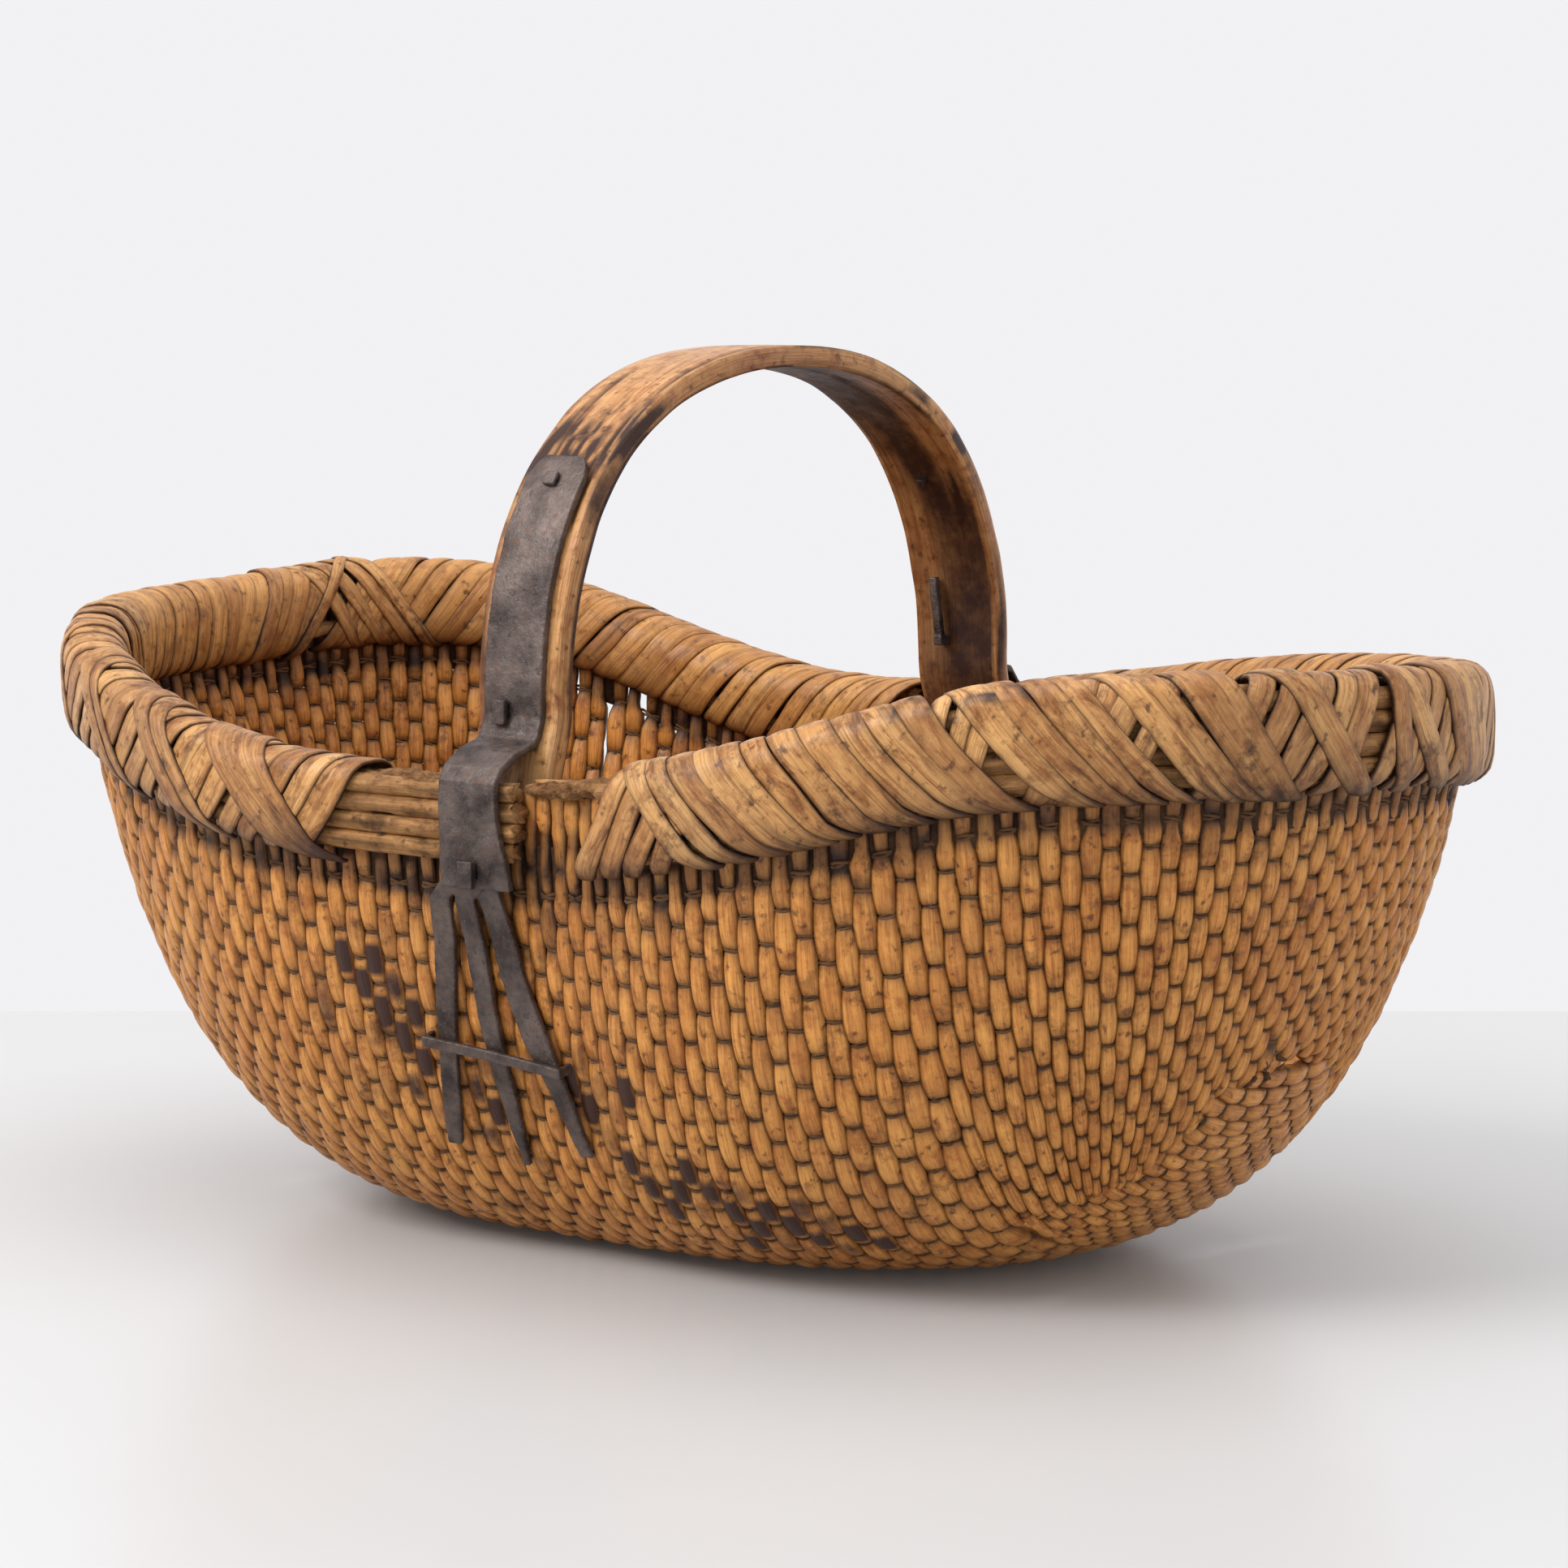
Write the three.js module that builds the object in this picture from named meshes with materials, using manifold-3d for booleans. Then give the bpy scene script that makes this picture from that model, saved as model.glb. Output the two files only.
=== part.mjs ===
// Oval willow harvest / winnowing basket with a bent-wood handle held by forged iron straps.
// Millimetres, +Z up, +X along the long axis, origin on the floor plane under the centre of the basket.
import * as THREE from 'three';
import { mergeVertices } from 'three/addons/utils/BufferGeometryUtils.js';
import Module from 'manifold-3d';

const wasm = await Module();
wasm.setup();

// ---------------------------------------------------------------- driving dimensions (mm)
const RIM_A = 289;            // half length of the rim centreline
const RIM_B = 174;            // half width of the rim centreline
const RIM_N = 2.47;           // superellipse exponent of the rim
const WAIST = 0.10;           // the rim is drawn in by this share where the handle is nailed on
const WAIST_X = 6.7;          // position of that waist along X
const WAIST_W = 85;           // its half width
// height of the rim centreline at 14 even angles, starting at the +X end and turning to +Y
const RIM_Z = [210.4, 205.0, 201.1, 190.3, 181.2, 213.3, 226.4, 220.6, 214.4, 197.5, 175.0, 177.8, 205.5, 212.1];
const BASE_A = 121;           // half length of the flat resting patch
const BASE_B = 72;            // half width of it
const BASE_N = 2.156;         // its exponent
const BASE_Y = 5;             // its sideways shift
const BULGE_SIDE = 0.855;     // how far the side walls bulge towards the rim line
const BULGE_END = 0.77;       // the same at the two ends
const BAND_LOW = 17.7;        // half height of the wrapped rim at the -X end
const BAND_HIGH = 19.9;       // and towards the +X end
const WALL = 6;               // thickness of the woven wall
const WALL_OUT = 2.5;         // outer wall face, outward of the rim centreline
const WALL_TOP = 8;           // wall edge above the rim centreline
const ROD_R = 3.55;           // rim rod radius
const ROD_OUT = 6.35;         // outer rods: centre outward of the rim centreline
const ROD_IN = -7.4;          // inner rods
const ROD_Z = [-12.5, -5.2, 2.1, 9.4];
const HANDLE_X = 7.5;         // centre of the handle along X
const HANDLE_W = 40;          // handle width
const HANDLE_T = 8.5;         // handle thickness
const HANDLE_TOP = 340;       // top of the arch
const ARCH_Y = 139.8;         // half span of the arch, outer face
const ARCH_Z = 206;           // height at which the arch springs
const ARCH_N = 2.33;          // arch exponent
const LEG_FOOT = 105;         // lower end of the handle legs, inside the basket
const IRON_T = 3;             // thickness of the forged strap
const GAP = 0.3;              // clearance between touching pieces
const STATIONS = 60;          // even stations round the rim shared by every rim piece

// ---------------------------------------------------------------- rim curve
const KN = RIM_Z.length;
const KH = 2 * Math.PI / KN;
function periodicSecondDerivatives(v, h) {
  const n = v.length, m = [];
  for (let i = 0; i < n; i++) {
    const row = new Array(n + 1).fill(0);
    row[(i + n - 1) % n] += 1; row[i] += 4; row[(i + 1) % n] += 1;
    row[n] = 6 / (h * h) * (v[(i + 1) % n] - 2 * v[i] + v[(i + n - 1) % n]);
    m.push(row);
  }
  for (let i = 0; i < n; i++) {
    for (let j = i + 1; j < n; j++) {
      const f = m[j][i] / m[i][i];
      if (f !== 0) for (let k = i; k <= n; k++) m[j][k] -= f * m[i][k];
    }
  }
  const x = new Array(n).fill(0);
  for (let i = n - 1; i >= 0; i--) {
    let s = m[i][n];
    for (let k = i + 1; k < n; k++) s -= m[i][k] * x[k];
    x[i] = s / m[i][i];
  }
  return x;
}
const KM = periodicSecondDerivatives(RIM_Z, KH);
function rimHeight(th) {
  let a = th % (2 * Math.PI); if (a < 0) a += 2 * Math.PI;
  const i = Math.min(KN - 1, Math.floor(a / KH)), j = (i + 1) % KN;
  const u = a - i * KH, w = KH - u;
  return (KM[i] * w ** 3 + KM[j] * u ** 3) / (6 * KH) + (RIM_Z[i] / KH - KM[i] * KH / 6) * w + (RIM_Z[j] / KH - KM[j] * KH / 6) * u;
}
const spow = (v, p) => Math.sign(v) * Math.pow(Math.abs(v), p);
function rimPoint(th) {
  const c = Math.cos(th), s = Math.sin(th);
  const x = RIM_A * spow(c, 2 / RIM_N);
  const y = RIM_B * spow(s, 2 / RIM_N) * (1 - WAIST * Math.exp(-(((x - WAIST_X) / WAIST_W) ** 2)));
  return new THREE.Vector3(x, y, rimHeight(th));
}
function basePoint(th) {
  const c = Math.cos(th), s = Math.sin(th);
  return new THREE.Vector3(BASE_A * spow(c, 2 / BASE_N), BASE_Y + BASE_B * spow(s, 2 / BASE_N), 0);
}
const bandHalf = (x) => BAND_LOW + (BAND_HIGH - BAND_LOW) * Math.min(1, Math.max(0, x / 200));

// even spacing along the rim
const theta = [];
{
  const N = 6000, len = [0]; let p = rimPoint(0);
  for (let i = 1; i <= N; i++) { const q = rimPoint(2 * Math.PI * i / N); len.push(len[i - 1] + p.distanceTo(q)); p = q; }
  let j = 0;
  for (let k = 0; k < STATIONS; k++) {
    const target = len[N] * k / STATIONS;
    while (len[j + 1] < target) j++;
    theta.push(2 * Math.PI * (j + (target - len[j]) / (len[j + 1] - len[j])) / N);
  }
}
const R = theta.map(rimPoint);
const OUT = R.map((p, i) => {
  const d = R[(i + 1) % STATIONS].clone().sub(R[(i + STATIONS - 1) % STATIONS]); d.z = 0; d.normalize();
  return new THREE.Vector3(d.y, -d.x, 0);
});
const SC = R.map((p) => bandHalf(p.x) / 18);

// point at station coordinate u, e outward and h up from the rim centreline; straight between stations
function band(u, e, h) {
  const i = ((Math.floor(u) % STATIONS) + STATIONS) % STATIONS, j = (i + 1) % STATIONS, f = u - Math.floor(u);
  const at = (k) => R[k].clone().addScaledVector(OUT[k], e).add(new THREE.Vector3(0, 0, h * SC[k]));
  return at(i).lerp(at(j), f);
}
// station coordinate where the rim passes x on the +Y (side 1) or -Y (side -1) side
function stationAt(side, x) {
  for (let i = 0; i < STATIONS; i++) {
    const a = R[i], b = R[(i + 1) % STATIONS];
    if (Math.sign(a.y + b.y) !== side) continue;
    if ((a.x - x) * (b.x - x) <= 0 && a.x !== b.x) return i + (x - a.x) / (b.x - a.x);
  }
  throw new Error('no station');
}

// ---------------------------------------------------------------- mesh helpers
function finishGeometry(pos, idx) {
  let vol = 0;
  const v = (i) => [pos[3 * i], pos[3 * i + 1], pos[3 * i + 2]];
  for (let i = 0; i < idx.length; i += 3) {
    const a = v(idx[i]), b = v(idx[i + 1]), c = v(idx[i + 2]);
    vol += a[0] * (b[1] * c[2] - b[2] * c[1]) - a[1] * (b[0] * c[2] - b[2] * c[0]) + a[2] * (b[0] * c[1] - b[1] * c[0]);
  }
  if (vol < 0) for (let i = 0; i < idx.length; i += 3) { const t = idx[i]; idx[i] = idx[i + 1]; idx[i + 1] = t; }
  const g = new THREE.BufferGeometry();
  g.setAttribute('position', new THREE.Float32BufferAttribute(pos, 3));
  g.setIndex(idx);
  return g;
}
// closed body through a row of equal closed sections; flat outlines are given for the end caps
function loft(sections, outline) {
  const n = sections[0].length, pos = [], idx = [];
  for (const s of sections) for (const p of s) pos.push(p.x, p.y, p.z);
  for (let i = 0; i + 1 < sections.length; i++) for (let k = 0; k < n; k++) {
    const a = i * n + k, b = i * n + (k + 1) % n, c = a + n, d = b + n;
    idx.push(a, c, b, b, c, d);
  }
  const flat = outline ?? sections[0].map((p, i) => { const a = 2 * Math.PI * i / n; return new THREE.Vector2(Math.cos(a), Math.sin(a)); });
  const ccw = THREE.ShapeUtils.area(flat) > 0;
  const tri = THREE.ShapeUtils.triangulateShape(flat.map((p) => p.clone()), []);
  const o = (sections.length - 1) * n;
  for (const t of tri) {
    // the side faces above turn with the outline's own direction
    const [p, q, r] = t;
    idx.push(p, q, r);
    idx.push(o + p, o + r, o + q);
  }
  return fixWinding(pos, idx, ccw);
}
// makes the caps agree with the sides, then the whole body face outwards
function fixWinding(pos, idx) {
  const edges = new Map(), nt = idx.length / 3;
  for (let t = 0; t < nt; t++) for (let k = 0; k < 3; k++) {
    const a = idx[3 * t + k], b = idx[3 * t + (k + 1) % 3], key = Math.min(a, b) + '_' + Math.max(a, b);
    if (!edges.has(key)) edges.set(key, []);
    edges.get(key).push([t, a < b ? 1 : -1]);
  }
  const flip = new Array(nt).fill(0); flip[0] = 1; const queue = [0];
  while (queue.length) {
    const t = queue.pop();
    for (let k = 0; k < 3; k++) {
      const a = idx[3 * t + k], b = idx[3 * t + (k + 1) % 3], key = Math.min(a, b) + '_' + Math.max(a, b);
      const e = edges.get(key), me = e.find((q) => q[0] === t);
      for (const q of e) if (q[0] !== t && flip[q[0]] === 0) { flip[q[0]] = (q[1] === me[1]) ? -flip[t] : flip[t]; queue.push(q[0]); }
    }
  }
  for (let t = 0; t < nt; t++) if (flip[t] < 0) { const s = idx[3 * t]; idx[3 * t] = idx[3 * t + 1]; idx[3 * t + 1] = s; }
  return finishGeometry(pos, idx);
}
function solid(geometry) {
  const g = geometry.clone(); g.deleteAttribute('normal'); g.deleteAttribute('uv');
  const m = mergeVertices(g, 1e-4);
  return new wasm.Manifold(new wasm.Mesh({ numProp: 3, vertProperties: Float32Array.from(m.attributes.position.array), triVerts: Uint32Array.from(m.index.array) }));
}
function toGeometry(man) {
  const m = man.getMesh(), g = new THREE.BufferGeometry();
  g.setAttribute('position', new THREE.Float32BufferAttribute(Array.from(m.vertProperties), 3));
  g.setIndex(Array.from(m.triVerts));
  return g;
}
function boxBetween(a, b, w, h, across) {
  // square bar from a to b; w along "across", h along the third direction
  const d = b.clone().sub(a), L = d.length(); d.normalize();
  const x = across.clone().addScaledVector(d, -across.dot(d)).normalize(), y = d.clone().cross(x);
  const g = new THREE.BoxGeometry(w, h, L);
  const m = new THREE.Matrix4().makeBasis(x, y, d).setPosition(a.clone().add(b).multiplyScalar(0.5));
  return g.applyMatrix4(m);
}
const V = (x, y, z) => new THREE.Vector3(x, y, z);
const AX = V(1, 0, 0);

// ---------------------------------------------------------------- materials
const mat = (color, roughness, metalness) => new THREE.MeshStandardMaterial({ color, roughness, metalness });
const WILLOW = mat(0xb9844a, 0.7, 0), ROD = mat(0xa6763f, 0.75, 0), SPLIT = mat(0xc59a63, 0.6, 0);
const BOW = mat(0x9a6636, 0.5, 0), IRON = mat(0x3b322c, 0.65, 0.8);
const object = new THREE.Group();
function add(name, geometry, material) {
  const g = geometry.index ? geometry : mergeVertices(geometry);
  const mesh = new THREE.Mesh(g, material); mesh.name = name; object.add(mesh); return mesh;
}

// ---------------------------------------------------------------- woven shell
const LEVELS = [0, 0.14, 0.27, 0.39, 0.5, 0.6, 0.7, 0.8, 0.9, 1.0];
function wallPoint(k, t) {
  const th = theta[k], B = basePoint(th), P = R[k], c2 = Math.cos(th) ** 2;
  const q = BULGE_SIDE * (1 - c2) + BULGE_END * c2;
  const C = B.clone().lerp(P, q), e = WALL_OUT * t ** 4;
  const a = (1 - t) ** 2, b = 2 * t * (1 - t), c = t * t;
  return V(a * B.x + b * C.x + c * P.x + e * OUT[k].x, a * B.y + b * C.y + c * P.y + e * OUT[k].y, c * (P.z - 18 * SC[k]));
}
const outerGrid = LEVELS.map((t) => R.map((_, k) => wallPoint(k, t)));
outerGrid.push(R.map((_, k) => band(k, WALL_OUT, WALL_TOP)));
const innerGrid = LEVELS.map((t, i) => R.map((_, k) => {
  if (t === 0) return outerGrid[0][k].clone().add(V(0, 0, WALL));
  const kp = (k + 1) % STATIONS, km = (k + STATIONS - 1) % STATIONS;
  const du = outerGrid[i][kp].clone().sub(outerGrid[i][km]);
  const dt = wallPoint(k, Math.min(1, t + 0.04)).sub(wallPoint(k, t - 0.04));
  if (t === 1) dt.set(0, 0, 1);
  const n = dt.cross(du).normalize();
  if (n.dot(OUT[k]) > 0 ) n.negate();
  return outerGrid[i][k].clone().addScaledVector(n, WALL);
}));
innerGrid.push(R.map((_, k) => band(k, WALL_OUT - WALL, WALL_TOP)));
function shellGeometry() {
  const pos = [], idx = [], put = (p) => { pos.push(p.x, p.y, p.z); return pos.length / 3 - 1; };
  const O = outerGrid.map((r) => r.map(put)), I = innerGrid.map((r) => r.map(put)), n = STATIONS;
  const wallRows = (G, sgn) => {
    for (let i = 0; i + 1 < G.length; i++) for (let k = 0; k < n; k++) {
      const a = G[i][k], b = G[i][(k + 1) % n], c = G[i + 1][k], d = G[i + 1][(k + 1) % n];
      if (sgn > 0) idx.push(a, b, c, b, d, c); else idx.push(a, c, b, b, c, d);
    }
  };
  wallRows(O, 1); wallRows(I, -1);
  const t = O.length - 1;
  for (let k = 0; k < n; k++) {
    const a = O[t][k], b = O[t][(k + 1) % n], c = I[t][k], d = I[t][(k + 1) % n];
    idx.push(a, b, c, b, d, c);
  }
  const co = put(V(0, BASE_Y, 0)), ci = put(V(0, BASE_Y, WALL));
  for (let k = 0; k < n; k++) { idx.push(co, O[0][(k + 1) % n], O[0][k]); idx.push(ci, I[0][k], I[0][(k + 1) % n]); }
  return finishGeometry(pos, idx);
}
const shellRaw = shellGeometry();
const probe = new THREE.Mesh(shellRaw, new THREE.MeshBasicMaterial({ side: THREE.DoubleSide })); probe.updateMatrixWorld();
const caster = new THREE.Raycaster();
// y of the outer (or inner) wall face at x, z on one side
function wallY(x, z, side, inner = false) {
  caster.set(V(x, inner ? 0 : side * 400, z), V(0, inner ? side : -side, 0));
  const h = caster.intersectObject(probe);
  return h[0].point.y;
}
function wallNormal(x, z, side) {
  const p = V(x, wallY(x, z, side), z), q = V(x + 2, wallY(x + 2, z, side), z), r = V(x, wallY(x, z + 2, side), z + 2);
  const n = q.sub(p).cross(r.sub(p)).normalize(); if (n.y * side < 0) n.negate(); return n;
}

// ---------------------------------------------------------------- handle bow
const legFace = (z) => Math.min(...[-12.5, -4, 7.5, 19, 27.5].flatMap((x) => [1, -1].map((s) => Math.abs(wallY(x, z, s, true))))) - 0.5;
const bowOuter = [];
{
  for (const z of [LEG_FOOT, 120, 135, 150]) bowOuter.push([-(legFace(z)), z]);
  bowOuter.push([-149.2, 166], [-147.2, 182], [-143.6, 195]);
  const pts = [];
  for (let i = 0; i <= 400; i++) {
    const a = Math.PI * i / 400;
    pts.push([-ARCH_Y * spow(Math.cos(a), 2 / ARCH_N), ARCH_Z + (HANDLE_TOP - ARCH_Z) * Math.pow(Math.abs(Math.sin(a)), 2 / ARCH_N)]);
  }
  const L = [0]; for (let i = 1; i <= 400; i++) L.push(L[i - 1] + Math.hypot(pts[i][0] - pts[i - 1][0], pts[i][1] - pts[i - 1][1]));
  for (let k = 0; k <= 28; k++) { const t = L[400] * k / 28; let j = 0; while (j < 399 && L[j + 1] < t) j++; const f = (t - L[j]) / (L[j + 1] - L[j]); bowOuter.push([pts[j][0] + f * (pts[j + 1][0] - pts[j][0]), pts[j][1] + f * (pts[j + 1][1] - pts[j][1])]); }
  for (const p of bowOuter.slice(0, 7).reverse()) bowOuter.push([-p[0], p[1]]);
}
const bowNormal = bowOuter.map((p, i) => {
  const a = bowOuter[Math.max(0, i - 1)], b = bowOuter[Math.min(bowOuter.length - 1, i + 1)];
  const d = [b[0] - a[0], b[1] - a[1]], l = Math.hypot(...d); return [-d[1] / l, d[0] / l];     // outward
});
function bowGeometry() {
  const w = HANDLE_W / 2, t = HANDLE_T, c = 2.2;
  const prof = [[-w, -c], [-w + c, 0], [w - c, 0], [w, -c], [w, -t + c], [w - c, -t], [-w + c, -t], [-w, -t + c]];
  const sec = bowOuter.map((p, i) => prof.map(([x, h]) => V(HANDLE_X + x, p[0] + bowNormal[i][0] * h, p[1] + bowNormal[i][1] * h)));
  return loft(sec, prof.map(([x, h]) => new THREE.Vector2(x, h)));
}
// the bow's outer face at a height on one side: y, and the outward normal there
function bowAt(z, side) {
  for (let i = 0; i + 1 < bowOuter.length; i++) {
    const [a, b] = [bowOuter[i], bowOuter[i + 1]];
    if (a[0] > 0) break;
    if ((a[1] - z) * (b[1] - z) <= 0) {
      const l = Math.hypot(b[0] - a[0], b[1] - a[1]);
      return { y: side * Math.abs(a[0] + (b[0] - a[0]) * (z - a[1]) / (b[1] - a[1])), n: V(0, side * (b[1] - a[1]) / l, (b[0] - a[0]) / l) };
    }
  }
  throw new Error('height off the bow');
}
const bowFace = (z, side) => bowAt(z, side).y;

// ---------------------------------------------------------------- forged straps
// left and right edges of each split tongue below the rim, as [z, xl, xr]
const PRONGS = [
  [[149, -6.5, 4.4], [142, -14, -4.9], [127, -17, -7.4], [111, -19.4, -10.3], [98, -21.4, -12.8], [85.5, -23.1, -15.1], [74, -25.4, -17.4], [63.2, -27.8, -19.8], [54, -30.2, -22.9], [45.5, -32.1, -26.0]],
  [[149, 3.4, 16.8], [142, -2.6, 6.7], [127, -2.6, 6.4], [112.8, -2.4, 6.3], [100, -2.0, 6.4], [87, -1.4, 6.9], [76, -0.6, 7.6], [66, 0.4, 8.0], [53, 0.6, 6.4], [40, 0.8, 3.9]],
  [[149, 15.8, 27.0], [146, 8.7, 19.2], [130, 10.4, 21.2], [114.5, 12.2, 23.5], [102, 15.2, 27.2], [89.5, 18.8, 31.0], [79, 23.4, 34.0], [70, 27.4, 36.2], [58, 30.4, 37.6], [47.5, 32.7, 38.6]],
];
const NAIL_TOP = [6.75, 290], NAIL_MID = [2.5, 208.5], NAIL_RIM = [9.8, 152.2];
// the rim is lower on one long side than on the other, and each strap sits by its own rim
const shift = (side) => band(stationAt(side, HANDLE_X), 0, 0).z - 172.3;
function strapGeometry(side) {
  const dz = shift(side);
  // inner face of the strap from the top of the tongue to the foot of the plate: [|y|, z, x left, x right]
  const face = [];
  for (const z of [299, 296.5, 292, 286, 279, 271, 262, 252, 238, 225, 217.5]) {
    const w = z > 298 ? 8.5 : z > 296 ? 11.5 : 13.6;
    if (z > 207 + dz || z === 299) face.push([Math.abs(bowFace(z, side)) + (z > 250 ? 0.55 : GAP), z, 6.75 - w, 6.75 + w]);
  }
  face.push([Math.abs(bowFace(207 + dz, side)) + GAP, 207 + dz, -6.85, 20.5]);
  const rimY = Math.abs(band(stationAt(side, HANDLE_X), ROD_OUT + ROD_R, 0).y) + GAP + 0.5;
  face.push(...[[Math.abs(bowFace(200 + dz, side)) + GAP, 200, -7.2, 20.6], [Math.abs(bowFace(196.5 + dz, side)) + 2.4, 196.5, -7, 20.7], [rimY - 10.8, 193, -6.6, 20.9], [rimY - 3.2, 188.6, -5.8, 21.4], [rimY - 0.4, 184.6, -5.4, 21.7], [rimY, 180, -5.2, 21.8],
    [rimY, 172, -4.9, 22.4], [rimY, 162, -4.7, 25], [rimY - 0.6, 155, -5.2, 26.8], [rimY - 2.0, 147.5, -5.6, 27.1]].map((f) => [f[0], f[1] + dz, f[2], f[3]]));
  const sec = face.map((f, i) => {
    const a = face[Math.max(0, i - 1)], b = face[Math.min(face.length - 1, i + 1)];
    let ny = -(b[1] - a[1]), nz = b[0] - a[0]; const l = Math.hypot(ny, nz); ny /= l; nz /= l;
    const s = side;
    const q = [V(f[2], s * f[0], f[1]), V(f[3], s * f[0], f[1]), V(f[3], s * (f[0] + ny * IRON_T), f[1] + nz * IRON_T), V(f[2], s * (f[0] + ny * IRON_T), f[1] + nz * IRON_T)];
    return q;
  });
  const sq = [[0, 0], [1, 0], [1, 1], [0, 1]].map((p) => new THREE.Vector2(...p));
  let m = solid(loft(sec, sq));
  for (const P of PRONGS) {
    const s2 = P.map(([z0, xl, xr], i) => {
      const z = z0 + dz;
      const yl = wallY(xl, z, side), yr = wallY(xr, z, side), n = wallNormal((xl + xr) / 2, z, side);
      // the tongues leave the plate and settle onto the weave
      const lift = i === 0 ? Math.max(0, rimY - 1.7 - Math.abs((yl + yr) / 2)) : i === 1 ? 5.0 : i === 2 ? 1.8 : 0.9;
      const o = V(0, side * lift, 0), th = n.clone().multiplyScalar(i > 7 ? 2.2 : 2.6);
      return [V(xl, yl, z).add(o), V(xr, yr, z).add(o), V(xr, yr, z).add(o).add(th), V(xl, yl, z).add(o).add(th)];
    });
    m = m.add(solid(loft(s2, sq)));
  }
  return m;
}

// hand-forged nail driven inwards from p against n: head, square shank, clinched tip
function nail(p, n, head, depth, hw, hh, ht, shank, clinch) {
  const at = (d) => p.clone().addScaledVector(n, d);
  let m = solid(boxBetween(at(head), at(head + ht), hw, hh, AX)).add(solid(boxBetween(at(-depth), at(head + ht * 0.5), shank, shank, AX)));
  if (clinch) {
    // the bent tip runs from the end of the shank to the point given
    const c = at(-depth + shank * 0.5), d = clinch.clone().sub(c).normalize();
    m = m.add(solid(boxBetween(c.addScaledVector(d, shank * 0.3), clinch, shank * 0.9, shank * 0.8, AX)));
  }
  return m;
}
// a point lying just off the bow's inner face
const tip = (x, z, side) => { const f = bowAt(z, side); return V(x, f.y, z).addScaledVector(f.n, -HANDLE_T - 2.6); };
const drill = (p, n, d0, d1, s) => solid(boxBetween(p.clone().addScaledVector(n, d0), p.clone().addScaledVector(n, d1), s, s, AX));

let shell = solid(shellRaw);
let bow = solid(bowGeometry());
for (const side of [-1, 1]) {
  const tag = side < 0 ? 'near' : 'far';
  let strap = strapGeometry(side);
  const rimY = Math.abs(band(stationAt(side, HANDLE_X), ROD_OUT + ROD_R, 0).y) + GAP + 0.5;
  // top nail
  {
    const [x, z] = NAIL_TOP, f = bowAt(z, side), p = V(x, f.y, z);
    const hole = drill(p, f.n, -16, 9, 3.8);
    strap = strap.subtract(hole); bow = bow.subtract(hole);
    add('nail_top_' + tag, toGeometry(nail(p, f.n, IRON_T + 0.9, HANDLE_T + 3.6, 5.5, 5.5, 1.8, 3.2, null)), IRON);
  }
  // middle nail
  {
    const [x, z0] = NAIL_MID, z = z0 + shift(side), f = bowAt(z, side), p = V(x, f.y, z);
    const hole = drill(p, f.n, -20, 9, 4.6);
    strap = strap.subtract(hole); bow = bow.subtract(hole);
    add('nail_mid_' + tag, toGeometry(nail(p, f.n, IRON_T + 1.2, HANDLE_T + 6.2, 6, 9, 2.4, 4.0, tip(x + (side > 0 ? -2 : 2), side > 0 ? z + 28 : z - 13, side))), IRON);
  }
  // nail through plate, wall and leg, just under the rods
  {
    const [x, z0] = NAIL_RIM, z = z0 + shift(side), n = V(0, side, 0), p = V(x, side * (rimY - 0.8), z);
    const depth = rimY - 0.8 - Math.abs(bowFace(z, side)) + HANDLE_T + 6.2;
    const hole = drill(p, n, -40, 12, 4.6);
    strap = strap.subtract(hole); bow = bow.subtract(hole); shell = shell.subtract(hole);
    add('nail_rim_' + tag, toGeometry(nail(p, n, IRON_T + 0.9, depth, 7, 10, 2.6, 4.0, tip(x - 1.5, z - 12, side))), IRON);
  }
  add('iron_strap_' + tag, toGeometry(strap), IRON);
  // cross staple over the three tongues, its ends driven through the weave
  {
    const A = [-28.5, 87.4 + shift(side)], B = [37.6, 81.2 + shift(side)], steps = 6, w = 4.2, t = 2;
    const secs = [];
    for (let i = 0; i <= steps; i++) {
      const x = A[0] + (B[0] - A[0]) * i / steps, z = A[1] + (B[1] - A[1]) * i / steps, n = wallNormal(x, z, side);
      const p = V(x, wallY(x, z, side), z).addScaledVector(n, 4.6), up = n.clone().cross(AX).normalize(); if (up.z < 0) up.negate();
      secs.push([p.clone().addScaledVector(up, -w / 2), p.clone().addScaledVector(up, w / 2), p.clone().addScaledVector(up, w / 2).addScaledVector(n, t), p.clone().addScaledVector(up, -w / 2).addScaledVector(n, t)]);
    }
    let st = solid(loft(secs, [[0, 0], [1, 0], [1, 1], [0, 1]].map((p) => new THREE.Vector2(...p))));
    for (const [x, z, dx] of [[A[0], A[1], 1.2], [B[0], B[1], -1.2]]) {
      const n = wallNormal(x, z, side), p = V(x + dx, wallY(x, z, side), z);
      const leg = boxBetween(p.clone().addScaledVector(n, 5.4), p.clone().addScaledVector(n, -11), t, w * 0.9, AX);
      const cut = boxBetween(p.clone().addScaledVector(n, 5.4), p.clone().addScaledVector(n, -14), t + 0.7, w * 0.9 + 0.7, AX);
      st = st.add(solid(leg)); shell = shell.subtract(solid(cut));
    }
    add('strap_staple_' + tag, toGeometry(st), IRON);
  }
}
add('willow_shell', toGeometry(shell), WILLOW);
add('handle_bow', toGeometry(bow), BOW);

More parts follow.
